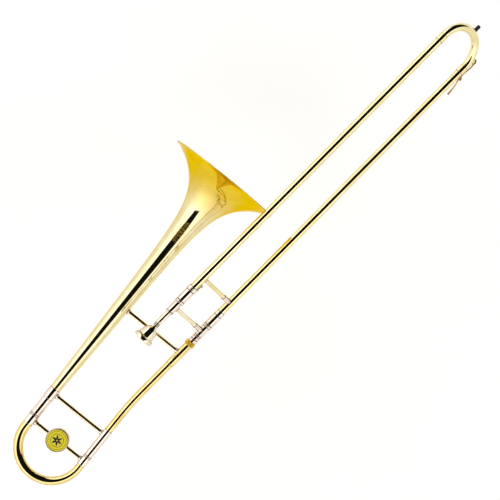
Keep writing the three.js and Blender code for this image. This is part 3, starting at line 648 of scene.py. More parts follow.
def build_mouthpiece():
    x = RIM_X

    def shank(at):
        return SHANK + 0.017 * (SHANK_END - at)

    band = 5.2
    rings = [x + 34.6, x + 37.0, x + 39.4]
    outside = [
        (x + 0.55, 13.4), (x + 0.12, 14.3), (x, 15.2), (x + 0.35, 16.4), (x + 1.1, 17.3),
        (x + 2.2, 17.8), (x + 5.6, 17.8), (x + 6.8, 17.6), (x + 7.8, 17.0), (x + 8.7, 15.8),
        (x + 9.8, 14.4), (x + 13.4, 14.0), (x + 17, 13.4), (x + 21, 12.3), (x + 24.5, 10.7),
        (x + 26.4, 9.4), (x + 28, 8.0), (x + 29.3, 6.8), (x + 30.5, 5.9), (x + 31.5, 5.4),
        (x + 32.5, band), *(p for ring in rings for p in groove(ring, band, 0.5, 1.4)),
        (x + 42.4, band), (x + 43, shank(x + 43)), (SHANK_END, SHANK),
    ]
    inside = [
        (SHANK_END, 4.4), (x + 38, 3.2), (x + 28, 3.2), (x + 24, 4.6), (x + 22, 6.4),
        (x + 20, 8.0), (x + 16.6, 9.9), (x + 13, 11.3), (x + 8, 12.2), (x + 3, 12.6),
        (x + 1.4, 12.8),
    ]
    turned("mouthpiece", [*outside, *inside], UPPER, "silver_plate", ease=0.25,
           dark=[(ring - 0.65, ring + 0.65) for ring in rings], below=band - 0.1)


def build_slide_lock():
    bm = bmesh.new()
    start = RING_START + 0.2
    end = BARREL_END - 0.8
    bore = RING_SEAT + 0.08

    def grip(x, radius, angle):
        milled = start + 1.2 < x < end - 1.2 and radius > LOCK_RING - 0.5
        return radius - 0.12 * (0.5 + 0.5 * math.cos(36 * angle)) if milled else radius

    turned_mesh(bm, [
        (start, bore), (start, LOCK_RING), (start + 1.1, LOCK_RING), (start + 1.3, LOCK_RING - 0.3),
        (start + 1.5, LOCK_RING - 0.05), (end - 1.5, LOCK_RING - 0.05),
        (end - 1.3, LOCK_RING - 0.3), (end - 1.1, LOCK_RING), (end, LOCK_RING), (end, bore),
    ], in_frame(UPPER), sides=216, ease=0.12, wave=grip)
    # The arm is a curved strip with an open slot for the stud.
    slot = (STUD_X - 1.9, STUD_X + 1.9)
    edges = [end - 1.0, 50.5, 53.0, slot[0], slot[1], 60.2, STUD_X + 4.5]
    turns = [LOCK_ARM_TURN + LOCK_ARM_HALF * (k / 6 - 1) for k in range(13)]
    inner, outer = LOCK_LIP + 0.1, LOCK_RING
    grid = {}

    def corner(i, k, radius):
        key = (i, k, radius)
        if key not in grid:
            narrow = 0.72 if i == len(edges) - 1 else 1.0
            turn = LOCK_ARM_TURN + (turns[k] - LOCK_ARM_TURN) * narrow
            grid[key] = bm.verts.new((UPPER @ spun(edges[i], radius, turn)) * MM)
        return grid[key]

    cells = {(i, k) for i in range(len(edges) - 1) for k in range(12)}
    cells -= {(3, k) for k in range(1, 12)}
    for i, k in sorted(cells):
        bm.faces.new((corner(i, k, outer), corner(i + 1, k, outer),
                      corner(i + 1, k + 1, outer), corner(i, k + 1, outer)))
        bm.faces.new((corner(i, k + 1, inner), corner(i + 1, k + 1, inner),
                      corner(i + 1, k, inner), corner(i, k, inner)))
        for di, dk, a, b in ((-1, 0, (0, 1), (0, 0)), (1, 0, (1, 0), (1, 1)),
                             (0, -1, (0, 0), (1, 0)), (0, 1, (1, 1), (0, 1))):
            if (i + di, k + dk) not in cells:
                p, q = (i + a[0], k + a[1]), (i + b[0], k + b[1])
                edge = bm.faces.new((corner(*p, outer), corner(*p, inner),
                                     corner(*q, inner), corner(*q, outer)))
                # The cut edges of the arm and its slot take the near-black second material: partly
                # tarnishing, partly painted shade.
                edge.material_index = 1
    finish_mesh("slide_lock_ring_fine", bm, "nickel_silver", "slide_lock_ring")

    stud = UPPER @ Matrix.Rotation(LOCK_ARM_TURN + LOCK_THROW, 4, "X") \
        @ Matrix.Translation((STUD_X, 0, 0)) @ Matrix.Rotation(math.pi / 2, 4, "Z")
    turned("slide_lock_stud", [
        (OVERSLEEVE - 0.1, 0), (OVERSLEEVE - 0.1, 2.1), (OVERSLEEVE + 0.4, 1.6),
        (OVERSLEEVE + 2.9, 1.5), (OVERSLEEVE + 2.9, 2.4), (OVERSLEEVE + 4, 2.2),
        (OVERSLEEVE + 4, 0),
    ], stud, "lacquered_brass", sides=SMALL, ease=0.25)


# ---------------------------------------------------------------- braces
def foot_mesh(bm, matrix, tube, socket, lean):
    """A soldered foot: a flange that follows the tube and a socket. X leaves the tube."""
    body = ROD + 0.75

    def saddle(radius, angle):
        y, z = radius * math.cos(angle), radius * math.sin(angle)
        round_part = math.sqrt(max(tube * tube - z * z, 0.0))
        return (round_part + y * math.sin(lean)) / math.cos(lean)

    seat = tube + FOOT_DEPTH
    rings = [
        (2.0, 0.02, None), (FOOT - 0.1, 0.02, None), (FOOT, 0.12, None), (FOOT, 0.55, None),
        (FOOT - 0.12, 0.7, None), (FOOT - 0.45, 0.8, None), (body + 0.55, 0.5, seat - 0.2),
        (body + 0.2, 0.2, seat + 0.25), (body, 0.0, seat + 0.9),
        (body, 0.0, tube + socket - 0.3), (body - 0.08, 0.0, tube + socket - 0.08),
        (body - 0.25, 0.0, tube + socket), (ROD + 0.12, 0.0, tube + socket),
        (ROD + 0.1, 0.0, tube + socket - 0.1), (ROD + 0.1, 0.0, seat),
    ]
    rows = [[bm.verts.new((matrix @ Vector((tube + 0.02, 0, 0))) * MM)]]
    for radius, lift, flat in rings:
        row = []
        for angle in full_turn(SMALL):
            x = saddle(radius, angle) + lift if flat is None else flat
            if flat is not None and lift:
                x = max(flat - 0.4, saddle(radius, angle) + lift)
            row.append(bm.verts.new((matrix @ spun(x, radius, angle)) * MM))
        rows.append(row)
    rows.append([bm.verts.new((matrix @ Vector((seat, 0, 0))) * MM)])
    for band, pair in enumerate(zip(rows, rows[1:])):
        for face in bridge(bm, pair):
            # The near-black second material, partly real tarnishing and partly painted shade, sits
            # in the joint with the tube and around the rod.
            face.material_index = 1 if band in (2, 3) or band > 10 else 0


def build_brace(name, matrix, first, last, slot, look=None):
    """first and last are (x, y, tube radius, socket length, lean) on the two tubes' axes."""
    x0, y0, tube0, socket0, lean0 = first
    x1, y1, tube1, socket1, lean1 = last
    across = Vector((x1 - x0, y1 - y0))
    length = across.length
    line = matrix @ Matrix.Translation((x0, y0, 0)) \
        @ Matrix.Rotation(math.atan2(across.y, across.x), 4, "Z")
    far = line @ Matrix.Translation((length, 0, 0)) @ Matrix.Rotation(math.pi, 4, "Z")
    start = tube0 + FOOT_DEPTH + 0.3
    end = length - tube1 - FOOT_DEPTH - 0.3
    turned(name + "_rod", [(start, 0), (start, ROD), (end, ROD), (end, 0)], line, slot,
           look=look, sides=64)
    for part, place, tube, socket, lean in (
        ("_lower_foot", line, tube0, socket0, lean0), ("_upper_foot", far, tube1, socket1, lean1)
    ):
        bm = bmesh.new()
        foot_mesh(bm, place, tube, socket, lean)
        finish_mesh(name + part + "_fine", bm, "nickel_silver", name + part)


# ---------------------------------------------------------------- hand slide, outer
def build_outer_slide():
    tube_end = BOW_START - BOW_STRAIGHT - 0.3
    for name, matrix, sleeve_end in (
        ("lower", SLIDE, LOWER_OVERSLEEVE_END), ("upper", UPPER, UPPER_OVERSLEEVE_END)
    ):
        turned(name + "_outer_tube", ring_outline(OUTER_START, tube_end, OUTER_TUBE, OUTER_BORE),
               matrix, "pale_brass")
        outline = [
            (OUTER_START, OUTER_TUBE + 0.05), (OUTER_START, OVERSLEEVE),
            (sleeve_end - 1.2, OVERSLEEVE), (sleeve_end - 0.2, OVERSLEEVE - 0.15),
            (sleeve_end, OUTER_TUBE + 0.05),
        ]
        turned(name + "_oversleeve", outline, matrix, "pale_brass", ease=0.15)
        f0, f1 = BOW_FERRULE_START, BOW_START
        turned(name + "_bow_ferrule", [
            (f0, OUTER_TUBE + 0.1), (f0, OUTER_TUBE + 0.15), (f0 + 0.7, BOW_FERRULE),
            (f1 - 0.7, BOW_FERRULE), (f1, OUTER_TUBE + 0.15), (f1, OUTER_TUBE + 0.1),
        ], matrix, "pale_brass", ease=0.1, dark=[(f0, f0 + 0.6), (f1 - 0.6, f1)],
            below=BOW_FERRULE - 0.05)
    build_brace(
        "outer_brace", SLIDE, (OUTER_BRACE_X, 0, OVERSLEEVE, OUTER_BRACE_SOCKET, 0),
        (OUTER_BRACE_X, TUBE_SPACING, OVERSLEEVE, SHORT_SOCKET, 0), "lacquered_brass",
        look="pale_brass",
    )

    path, length = arc_path(
        (BOW_START - BOW_STRAIGHT, 0), BOW_STRAIGHT, (BOW_START, BOW_RADIUS), BOW_RADIUS,
        (1, 0), -math.pi / 2, math.pi,
    )
    stations = [0, 0.4, *(BOW_STRAIGHT + (length - 2 * BOW_STRAIGHT) * k / 72 for k in range(73)),
                length - 0.4, length]
    pipe("end_bow", path, SLIDE, "pale_brass", stations, lambda s: OUTER_TUBE, BOW_WALL, sides=64)

    apex = SLIDE @ Matrix.Translation((BOW_START + BOW_RADIUS, BOW_RADIUS, 0))
    turned("bumper_stub", [
        (OUTER_TUBE + 0.1, 0), (OUTER_TUBE + 0.1, 2.2), (OUTER_TUBE + 6, 2.2), (OUTER_TUBE + 6, 0)
    ], apex, "lacquered_brass", sides=SMALL)
    tip = OUTER_TUBE + 10.9

    def seated(point):
        if point.x < OUTER_TUBE:
            outside = math.hypot(point.y, point.z) > 2.25
            reach = BOW_RADIUS + OUTER_TUBE
            swell = math.sqrt(max(OUTER_TUBE ** 2 - point.z ** 2, 0)) + 0.05
            lean = reach - math.sqrt(reach ** 2 - point.y ** 2)
            point = Vector((swell - lean if outside else OUTER_TUBE + 0.1, point.y, point.z))
        return apex @ point

    turned("rubber_bumper", [
        (OUTER_TUBE + 6.3, 0), (OUTER_TUBE + 6.3, 2.3), (OUTER_TUBE - 0.5, 2.3),
        (OUTER_TUBE - 0.5, 3.65), (OUTER_TUBE + 2, 3.6), (OUTER_TUBE + 5, 3.55), (tip - 2.6, 3.65),
        (tip - 1.4, 3.6), (tip - 0.7, 3.3), (tip - 0.25, 2.8), (tip, 1.9), (tip, 0),
    ], None, "black_rubber", sides=SMALL, ease=0.15, place=seated)


# ---------------------------------------------------------------- water key
def around_bow():
    """The frame whose X leaves the end bow's centre through the drain hole."""
    return SLIDE @ Matrix.Translation((BOW_START, BOW_RADIUS, 0)) \
        @ Matrix.Rotation(NIPPLE_TURN - math.pi / 2, 4, "Z")


def strip_mesh(bm, points, matrix, thickness, width_at):
    """A flat bar with rounded edges along a line in the frame's XY plane."""
    line = [Vector(p) for p in points]
    section = []
    for angle in full_turn(24):
        c, s = math.cos(angle), math.sin(angle)
        section.append((math.copysign(abs(c) ** STRIP_POWER, c),
                        math.copysign(abs(s) ** STRIP_POWER, s)))
    rows = []
    for i, point in enumerate(line):
        ahead = heading(line, i)
        side = Vector((-ahead.y, ahead.x)) * (thickness / 2)
        half = width_at(i / (len(line) - 1)) / 2
        rows.append([bm.verts.new((matrix @ Vector((*(point + side * a), b * half))) * MM)
                     for a, b in section])
    bridge(bm, rows)
    bm.faces.new(rows[0])
    bm.faces.new(rows[-1])


def smooth_line(points, steps):
    """Catmull-Rom points through the given ones."""
    ends = [points[0], *points, points[-1]]
    result = []
    for i in range(len(points) - 1):
        a, b, c, d = (Vector(p) for p in ends[i:i + 4])
        for k in range(steps):
            t = k / steps
            result.append(0.5 * (2 * b + (c - a) * t + (2 * a - 5 * b + 4 * c - d) * t * t
                                 + (3 * b - a - 3 * c + d) * t ** 3))
    result.append(Vector(points[-1]))
    return result


def build_water_key():
    surface = BOW_RADIUS + OUTER_TUBE
    spoke = around_bow()
    nipple_top = surface + 3.3
    turned("water_key_nipple", ring_outline(surface - 0.9, nipple_top, 4.0, 2.0), spoke,
           "pale_brass", sides=SMALL, ease=0.3)
    cork_start = nipple_top + 0.1
    cork_end = cork_start + 1.9
    turned("water_key_cork", [(cork_start, 0), (cork_start, 4.6), (cork_end, 4.6), (cork_end, 0)],
           spoke, "cork", sides=SMALL, ease=0.3)

    bm = bmesh.new()
    floor = cork_end + 0.1
    cup_back = floor + 1.1
    turned_mesh(bm, [
        (floor, 0), (floor, 4.7), (cork_start + 0.7, 4.7), (cork_start + 0.7, 5.3),
        (cup_back - 0.7, 5.3), (cup_back - 0.2, 4.7), (cup_back, 3.4), (cup_back, 0),
    ], in_frame(spoke), sides=SMALL, ease=0.12)
    cup = Vector((BOW_START + cup_back * math.sin(NIPPLE_TURN),
                  BOW_RADIUS - cup_back * math.cos(NIPPLE_TURN)))
    x, y = PIVOT_X, -PIVOT_DROP
    points = smooth_line([
        (x - KEY_REACH - 0.8, y - 7.5), (x - 24, y - 6.3), (x - 15, y - 4.6), (x - 4, y - 1),
        (x + 4, y + 0.4), (x + 14, y + 0.6), (x + 24, y - 0.6), (x + 32, y - 1),
        (cup.x + 1.5, cup.y - 0.1),
    ], 6)

    def width(share):
        tip = max(0.0, 1 - share / 0.16)
        arm = 2.8 * (0.9 + 0.1 * math.cos(2 * math.pi * share))
        return arm + 1.8 * math.sqrt(tip) * (1 - 0.4 * tip)

    strip_mesh(bm, points, SLIDE, 1.45, width)
    hinge = SLIDE @ Matrix.Translation((x, y, 0)) @ Matrix.Rotation(math.pi / 2, 4, "Y")
    turned_mesh(bm, ring_outline(-2.3, 0.5, 1.9, 1.05), in_frame(hinge), sides=SMALL, ease=0.15)
    finish_mesh("water_key_lever_fine", bm, "lacquered_brass", "water_key_lever", look="aged_brass")

    bm = bmesh.new()
    left, right = x - 4.4, BOW_FERRULE_START - 0.5
    for z0, z1 in ((2.75, 4.05), (-4.05, -2.75)):
        ear = [(left, -OUTER_TUBE - 0.2), (right, -OUTER_TUBE - 0.2), (right, -OUTER_TUBE - 2.2),
               (right - 0.5, y + 1.2)]
        ear += [(x + 2.4 * math.cos(t), y + 2.4 * math.sin(t))
                for t in (math.radians(a) for a in range(0, -181, -15))]
        ear += [(left, -OUTER_TUBE - 2.2)]
        rows = [[bm.verts.new((SLIDE @ Vector((px, py, z))) * MM) for px, py in ear]
                for z in (z0, z1)]
        bridge(bm, rows)
        bm.faces.new(rows[0])
        bm.faces.new(rows[1])
    # The plate under the ears follows the tube.
    half = math.radians(36)
    plate = {}
    for i, px in enumerate((left, right)):
        for k in range(17):
            turn = -math.pi / 2 + half * (k / 8 - 1)
            for j, radius in enumerate((OUTER_TUBE + 0.03, OUTER_TUBE + 1.0)):
                point = Vector((px, radius * math.sin(turn), radius * math.cos(turn)))
                plate[i, k, j] = bm.verts.new((SLIDE @ point) * MM)
    for k in range(16):
        bm.faces.new((plate[0, k, 0], plate[1, k, 0], plate[1, k + 1, 0], plate[0, k + 1, 0]))
        bm.faces.new((plate[0, k + 1, 1], plate[1, k + 1, 1], plate[1, k, 1], plate[0, k, 1]))
        for i in (0, 1):
            bm.faces.new((plate[i, k, 0], plate[i, k + 1, 0], plate[i, k + 1, 1], plate[i, k, 1]))
    for k in (0, 16):
        bm.faces.new((plate[0, k, 0], plate[0, k, 1], plate[1, k, 1], plate[1, k, 0]))
    finish_mesh("water_key_saddle_fine", bm, "lacquered_brass", "water_key_saddle",
                look="aged_brass")

    face = 4.1
    pin = SLIDE @ Matrix.Translation((x, y, 0)) @ Matrix.Rotation(-math.pi / 2, 4, "Y")
    turned("water_key_pin", [
        (-face, 0), (-face, 0.95), (face + 0.1, 0.95), (face + 0.1, 1.9), (face + 0.5, 1.9),
        (face + 0.8, 1.5), (face + 0.8, 0),
    ], pin, "steel", sides=SMALL, ease=0.15)

    wire = [Vector((x - 7, y + 2.35, -0.9))]
    for i in range(61):
        coil = polar(1.75, math.pi / 2 - i / 24 * 2 * math.pi)
        wire.append(Vector((x + coil.x, y + coil.y, -0.9 - i / 24 * 0.55)))
    bm = bmesh.new()
    rows = []
    for i, point in enumerate(wire):
        ahead = heading(wire, i)
        side = ahead.cross(Vector((0, 0, 1))).normalized()
        up = side.cross(ahead)
        around = [side * 0.175 * math.cos(a) + up * 0.175 * math.sin(a) for a in full_turn(10)]
        rows.append([bm.verts.new((SLIDE @ (point + offset)) * MM) for offset in around])
    bridge(bm, rows)
    bm.faces.new(rows[0])
    bm.faces.new(rows[-1])
    finish_mesh("water_key_spring_fine", bm, "steel", "water_key_spring")


# ---------------------------------------------------------------- bell section
def skin(backs):
    """The bell's outside and inside at distances behind the rim."""
    outside = [(back_to_x(b), bell_radius(b)) for b in backs]
    inside = []
    for b in backs:
        slope = math.atan2(bell_radius(b) - bell_radius(b + 0.5), 0.5)
        inside.append((back_to_x(b) + BELL_WALL * math.sin(slope),
                       bell_radius(b) - BELL_WALL * math.cos(slope)))
    return outside, list(reversed(inside))


def build_bell():
    backs = [SEAM_BACK - 0.03, *(SEAM_BACK - 2 - k * (SEAM_BACK - 4.0) / 70 for k in range(71))]
    outside, inside = skin(backs)
    rim = bell_radius(0) + 0.8
    centre = (back_to_x(0.0), rim - 1.25)
    bead = []
    for k in range(14):
        turn = math.radians(160 - k * 20)
        bead.append((centre[0] + math.cos(turn), centre[1] + 1.25 * math.sin(turn)))
    bead = [p for p in bead if p[1] > inside[0][1] - 1.0 or p[0] > back_to_x(0)]
    turned("bell_flare", [*outside, *bead, *inside], BELL_AXIS, "gold_brass",
           dark=[(centre[0] + 0.1, centre[0] + 2)], below=rim + 1, sides=192, ease=0, auto=50,
           second="aged_brass")

    step = (BELL_TAIL - 4 - SEAM_BACK - 4) / 40
    backs = [BELL_TAIL, *(BELL_TAIL - 4 - k * step for k in range(41)), SEAM_BACK + 0.05]
    outside, inside = skin(backs)
    turned("bell_stem", [*outside, *inside], BELL_AXIS, "gold_brass", sides=192, ease=0, auto=50)

    back, front = back_to_x(TAIL_FERRULE_BACK), back_to_x(TAIL_FERRULE_FRONT)
    hole = bell_radius(TAIL_FERRULE_FRONT) + 0.03
    step = back_to_x(BELL_TAIL) - 0.4
    turned("bell_tail_ferrule", [
        (back, 9.7), (back, 9.9), (back + 0.8, TAIL_FERRULE), (front - 3.0, TAIL_FERRULE),
        (front - 0.7, hole + 0.4), (front, hole + 0.05), (front, hole), (step, hole),
        (step, 9.7),
    ], BELL_AXIS, "nickel_silver", ease=0.2, dark=[(back, back + 0.75), (front - 0.7, front)],
        below=TAIL_FERRULE - 0.1)
    sleeve = back_to_x(SLEEVE_BACK)
    upper_end = back_to_x(UPPER_SLEEVE_END)
    turned("upper_tuning_sleeve", [
        (sleeve, 9.2), (sleeve, 9.25), (sleeve + 0.6, 9.6), *groove(sleeve + 3, 9.6, 0.3),
        (upper_end, 9.6), (upper_end, 9.2),
    ], BELL_AXIS, "nickel_silver", ease=0.15, below=9.55,
        dark=[(sleeve, sleeve + 0.55), (sleeve + 2.4, sleeve + 3.6)])
    lower_end = back_to_x(LOWER_SLEEVE_END)
    insert = lower_end - 6.5
    turned("lower_tuning_sleeve", [
        (sleeve, 7.6), (sleeve, 7.65), (sleeve + 0.6, 8.0), *groove(sleeve + 3, 8.0, 0.3),
        (lower_end - 0.8, 8.0), (lower_end, 7.4), (lower_end, GOOSENECK + 0.06),
        (insert, GOOSENECK + 0.06), (insert, 7.6),
    ], BELL, "nickel_silver", ease=0.15, below=7.95,
        dark=[(sleeve, sleeve + 0.55), (sleeve + 2.4, sleeve + 3.6), (lower_end - 0.8, lower_end)])
    build_brace(
        "section_brace", BELL, (back_to_x(SECTION_BRACE_BACK), 0, 8.0, SHORT_SOCKET, 0),
        (back_to_x(SECTION_BRACE_BACK), LEG_SPACING, TAIL_FERRULE, SHORT_SOCKET, 0), "chrome",
    )
    brace_x = back_to_x(BELL_BRACE_BACK)
    build_brace(
        "bell_brace", BELL,
        (brace_x, -brace_x * math.tan(BELL_TILT), SOCKET, SHORT_SOCKET, -BELL_TILT),
        (brace_x, LEG_SPACING, bell_radius(BELL_BRACE_BACK - FOOT), SHORT_SOCKET, 0), "chrome",
    )


def ribbon(bm, line, place, width, height):
    """A raised line along points of a surface. place maps (u, v, lift) to the assembly."""
    loops = []
    for i, point in enumerate(line):
        ahead = line[(i + 1) % len(line)] - line[i - 1]
        side = Vector((-ahead.y, ahead.x)).normalized() * (width / 2)
        loops.append([
            bm.verts.new(place(point.x + side.x * a, point.y + side.y * a, lift) * MM)
            for a, lift in ((-1, -0.05), (-0.7, height), (0.7, height), (1, -0.05))
        ])
    bridge(bm, loops, closed=True)


def build_bell_ornament():
    """A plain engraved rosette between two pairs of scrolls, on top of the bell's throat."""

    def place(u, v, lift):
        back = ORNAMENT_BACK + ORNAMENT_SCALE * u
        radius = bell_radius(back) + lift
        turn = math.pi / 2 + ORNAMENT_SCALE * v / radius
        return BELL_AXIS @ spun(back_to_x(back), radius, turn)

    bm = bmesh.new()
    circle = full_turn(40)
    for turn in full_turn(8):
        line = [polar(3.1 + 1.9 * math.cos(t), turn) + polar(math.sin(t), turn + math.pi / 2)
                for t in circle]
        ribbon(bm, line, place, ORNAMENT_LINE, ORNAMENT_HEIGHT)
    for radius in (0.9, 5.9):
        line = [polar(radius, t) for t in circle]
        ribbon(bm, line, place, ORNAMENT_LINE, ORNAMENT_HEIGHT)
    for along in (-1, 1):
        for across in (-1, 1):
            for reach, size in ((8.4, 3.0), (11.6, 2.2), (14.2, 1.5)):
                line = []
                for t in circle:
                    swell = size * (1 - 0.45 * math.cos(t))
                    line.append(Vector((along * (reach + swell * math.cos(t)),
                                        across * (0.9 * size + 0.3 + 0.8 * swell * math.sin(t)))))
                ribbon(bm, line, place, ORNAMENT_LINE, ORNAMENT_HEIGHT)
    finish_mesh("bell_ornament", bm, "gold_brass", body="bell_section", look="engraving")


def build_gooseneck():
    bend = 31.0
    cos, sin = math.cos(BELL_TILT), math.sin(BELL_TILT)
    first = back_to_x(LOWER_SLEEVE_END) - 6.5 + 0.3
    seat = SOCKET_START + 8 - 0.3
    start = Vector((NECK_X + first * cos, first * sin))
    a = Vector((NECK_X - bend * cos, -bend * sin))
    m = Vector((NECK_X, 0))
    b = Vector((NECK_X + bend, 0))
    end = Vector((seat, 0))
    bend_points = [a * (1 - t) ** 2 + m * 2 * t * (1 - t) + b * t * t
                   for t in (k / 60 for k in range(61))]
    points = [start, *bend_points, end]
    lengths = [0.0]
    for one, two in zip(points, points[1:]):
        lengths.append(lengths[-1] + (two - one).length)
    total = lengths[-1]

    def path(distance):
        last = len(points) - 2
        for k in range(last + 1):
            if distance <= lengths[k + 1] or k == last:
                share = (distance - lengths[k]) / (lengths[k + 1] - lengths[k])
                before, here, after = (
                    (points[n + 1] - points[n]).normalized()
                    for n in (max(k - 1, 0), k, min(k + 1, last))
                )
                ahead = ((before + here) * (1 - share) + (here + after) * share).normalized()
                return points[k].lerp(points[k + 1], share), ahead

    stations = [0.0, 0.5, *lengths[1:-1], total - 0.5, total]
    world = Matrix.Identity(4)
    pipe("gooseneck", path, world, "lacquered_brass", stations, lambda s: GOOSENECK, 0.45)

    thread = NUT_START - 1.3
    bore = TENON + 0.05
    socket_seat = SOCKET_START + 8
    turned("gooseneck_socket", [
        (SOCKET_START, GOOSENECK + 0.05), (SOCKET_START, GOOSENECK + 0.1),
        (SOCKET_START + 0.8, SOCKET),
        (thread, SOCKET), (thread, SOCKET_THREAD), (SOCKET_END, SOCKET_THREAD),
        (SOCKET_END, bore), (socket_seat, bore), (socket_seat, GOOSENECK + 0.05),
    ], world, "lacquered_brass", ease=0.25, dark=[(SOCKET_START, SOCKET_START + 0.7)],
        below=SOCKET - 0.05)

    def milled(x, radius, angle):
        on_band = radius > NUT - 0.3 and abs(x - (NUT_START + NUT_END) / 2) > 0.7
        return radius - 0.22 * (0.5 + 0.5 * math.cos(44 * angle)) ** 2 if on_band else radius

    middle = (NUT_START + NUT_END) / 2
    bore = SOCKET_THREAD + 0.1
    turned("bell_lock_nut", [
        (NUT_START, bore), (NUT_START, NUT - 1.0), (NUT_START + 0.4, NUT - 0.4),
        (NUT_START + 0.9, NUT), (middle - 0.75, NUT), (middle - 0.6, NUT - 0.35),
        (middle, NUT - 0.55), (middle + 0.6, NUT - 0.35), (middle + 0.75, NUT),
        (NUT_END - 0.9, NUT), (NUT_END - 0.4, NUT - 0.4), (NUT_END, NUT - 1.0),
        (NUT_END, TENON + 0.15), (SOCKET_END + 0.2, TENON + 0.15), (SOCKET_END + 0.2, bore),
    ], world, "gold_brass", sides=264, ease=0.12, wave=milled, auto=40, look="gold_lacquer")


# ---------------------------------------------------------------- tuning slide
def build_tuning_slide():
    radius = LEG_SPACING / 2
    bow_x = back_to_x(BOW_CENTRE_BACK)
    start_x, end_x = back_to_x(TUNING_FERRULE_BACK), back_to_x(TUNING_FERRULE_FRONT)
    joint = (start_x + end_x) / 2
    straight = joint - 0.3 - bow_x
    path, length = arc_path(
        (joint - 0.3, LEG_SPACING), straight, (bow_x, radius), radius, (-1, 0), math.pi / 2, math.pi
    )

    def size(s):
        share = min(max((s - straight) / (length - 2 * straight), 0), 1)
        if share < 0.5:
            return UPPER_BOW + (APEX_BOW - UPPER_BOW) * 2 * share
        return APEX_BOW + (LOWER_BOW - APEX_BOW) * (2 * share - 1)

    stations = [0, 0.4, *(straight + (length - 2 * straight) * k / 96 for k in range(97)),
                length - 0.4, length]
    pipe("tuning_bow", path, BELL, "lacquered_brass", stations, size, 0.45)

    legs = (
        ("lower", BELL, LOWER_LEG, LOWER_BOW, LOWER_SLEEVE_END + 7.5, 8.15),
        ("upper", BELL_AXIS, UPPER_LEG, UPPER_BOW, UPPER_SLEEVE_END + 2, 10.0),
    )
    for name, matrix, leg, bow, end, outer in legs:
        turned(name + "_tuning_leg", ring_outline(joint + 0.3, back_to_x(end), leg, leg - 0.4),
               matrix, "silver_plate", ease=0.15)
        turned(name + "_tuning_ferrule", [
            (start_x, bow + 0.1), (start_x, bow + 0.15), (start_x + 0.7, outer),
            (end_x - 0.6, outer), (end_x, outer - 0.4), (end_x, leg + 0.1), (joint, leg + 0.1),
            (joint, bow + 0.1),
        ], matrix, "nickel_silver", ease=0.12, below=outer - 0.05,
            dark=[(start_x, start_x + 0.6), (end_x - 0.5, end_x)])
    build_brace(
        "tuning_brace", BELL, (joint, 0, 8.15, SHORT_SOCKET, 0),
        (joint, LEG_SPACING, 10.0, SHORT_SOCKET, 0), "chrome",
    )

    weight = BELL @ Matrix.Translation((joint, radius, 0)) @ Matrix.Rotation(-math.pi / 2, 4, "Y")
    half = WEIGHT_HALF
    recess = half - 1.6
    turned("counterweight_body", [
        (-half, 0), (-half, 8.0), (-half, WEIGHT - 2.0), (-half + 0.5, WEIGHT - 0.8),
        (-half + 1.6, WEIGHT), (-1.2, WEIGHT), (-0.9, WEIGHT - 0.35), (0.9, WEIGHT - 0.35),
        (1.2, WEIGHT), (half - 1.4, WEIGHT), (half - 0.4, WEIGHT - 0.45), (half, WEIGHT - 1.1),
        (half, WEIGHT_FACE + 0.5), (half - 0.3, WEIGHT_FACE + 0.2), (recess, WEIGHT_FACE + 0.2),
        (recess, 0),
    ], weight, "silver_plate", sides=144)
    top = half - 0.25
    turned("counterweight_face", [
        (recess + 0.05, 0), (recess + 0.05, WEIGHT_FACE), (top - 0.35, WEIGHT_FACE),
        (top - 0.1, WEIGHT_FACE - 0.3), (top, WEIGHT_FACE - 0.9), (top + 0.02, 9.0),
        (top + 0.02, 0),
    ], weight, "yellow_enamel", sides=144, ease=0.1)
    build_emblem(weight, top)
    turned("counterweight_screw",
           [(-2.2, 0), (-2.2, 2.4), (-1.9, 2.8), (-0.8, 3.1), (0, 3.1), (0, 0)],
           weight @ Matrix.Translation((-half - 0.05, 0, 0)), "steel", sides=SMALL, ease=0.2)


def raised_plate(bm, outline, matrix, low, high, ease):
    """A thin plate with a chamfered edge. The outline is in the frame's YZ plane."""
    middle = sum(outline, Vector((0, 0))) / len(outline)
    rows = [[(low, middle)]]
    for x, inset in ((low, 0.0), (high - ease, 0.0), (high, ease)):
        rows.append([(x, middle + (p - middle) * (1 - inset / max((p - middle).length, 1e-6)))
                     for p in outline])
    rows.append([(high, middle)])
    bridge(bm, [[bm.verts.new((matrix @ Vector((x, *p))) * MM) for x, p in row] for row in rows])


def build_emblem(weight, top):
    """A plain six-petalled rosette inside two rings, as a generic ornament."""
    bm = bmesh.new()
    for turn in full_turn(6):
        outline = []
        for t in full_turn(24):
            side = 1.75 * math.sin(t) * (1 - 0.35 * math.cos(t))
            outline.append(polar(5.6 + 4.3 * math.cos(t), turn) + polar(side, turn + math.pi / 2))
        raised_plate(bm, outline, weight, top - 0.1, top + 0.14, 0.08)
    for outer, inner in ((12.0, 11.3), (16.6, 16.1)):
        turned_mesh(bm, ring_outline(top - 0.1, top + 0.12, outer, inner), in_frame(weight),
                    sides=ROUND, ease=0.05)
    finish_mesh("counterweight_rosette", bm, "black_rubber", body="tuning_slide")


build_inner_slide()
build_mouthpiece()
build_slide_lock()
build_outer_slide()
build_water_key()
build_bell()
build_bell_ornament()
build_gooseneck()
build_tuning_slide()

# ---------------------------------------------------------------- stage, light and camera
SWING_ROOM = 0.145  # metres under the bell, so that it clears the floor as it swivels
FLOOR_SIZE = 30.0
LENS = 90.78  # millimetres, on a sensor 36 mm wide
CAMERA_AT = Vector((0.13576, 0.02871, 2.245))
CAMERA_TARGET = Vector((0.16268, 0.04126, 0.0))
CAMERA_RIGHT = Vector((0.70944, 0.70465, 0.0))
low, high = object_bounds()


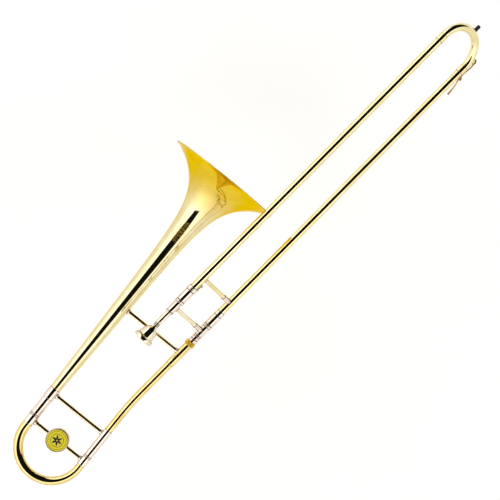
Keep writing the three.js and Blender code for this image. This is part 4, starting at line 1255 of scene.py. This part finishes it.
def build_floor():
    bm = bmesh.new()
    bmesh.ops.create_grid(bm, x_segments=1, y_segments=1, size=FLOOR_SIZE)
    mesh = bpy.data.meshes.new("floor")
    bm.to_mesh(mesh)
    bm.free()
    floor = bpy.data.objects.new("floor", mesh)
    floor.location = (0.2, 0.05, low.z - SWING_ROOM)
    bpy.context.scene.collection.objects.link(floor)
    g = new_material("pale_floor")
    tone = g.mix(g.span(g.noise(3.0, 3.0), 0.3, 0.7), linear(236, 236, 235), linear(240, 240, 239))
    g.set(Base_Color=tone, Roughness=0.9, Metallic=0.0)
    # It glows a little, like a light table.
    g.set(Emission_Color=(1.0, 1.0, 0.995, 1.0), Emission_Strength=0.4)
    mesh.materials.append(g.owner)


def build_world():
    """A white studio tent with a dark gap overhead that runs along the slide."""
    world = bpy.data.worlds.new("studio")
    bpy.context.scene.world = world
    g = Graph(world, "Generated")

    def ramp(value, *span):
        return g.span(value, *span, kind="SMOOTHSTEP")

    x, y, z = g.node("ShaderNodeSeparateXYZ", {0: g.position}).outputs
    edge = ramp(x, -0.58, 0.15, 0.2, 0.6)
    beyond = g.math("SUBTRACT", g.math("ABSOLUTE", y), edge)
    gap = g.math("MULTIPLY", ramp(beyond, 0.0, 0.05, 1.0, 0.0), ramp(x, -0.57, -0.53))
    gap = g.math("MULTIPLY", gap, ramp(z, 0.0, 0.08))
    level = g.math("MULTIPLY", ramp(z, -0.05, 0.85, 1.0, 1.7), ramp(y, -0.5, 0.5, 0.92, 1.1))
    level = g.math("MULTIPLY", level, g.math("SUBTRACT", 1.0, gap))
    background = g.nodes["Background"].inputs
    g.put(g.math("ADD", level, 0.008), background["Strength"])
    background["Color"].default_value = (1.0, 0.99, 0.97, 1.0)


def build_camera():
    data = bpy.data.cameras.new("camera")
    data.lens = LENS
    data.sensor_width = 36.0
    data.clip_end = 100.0
    camera = bpy.data.objects.new("camera", data)
    bpy.context.scene.collection.objects.link(camera)
    back = (CAMERA_AT - CAMERA_TARGET).normalized()
    right = CAMERA_RIGHT.cross(back).normalized()
    up = back.cross(right)
    turn = Matrix((right, up, back)).transposed().to_4x4()
    camera.matrix_world = Matrix.Translation(CAMERA_AT) @ turn
    bpy.context.scene.camera = camera


build_floor()
build_world()
build_camera()
bpy.context.scene.view_settings.view_transform = "Standard"
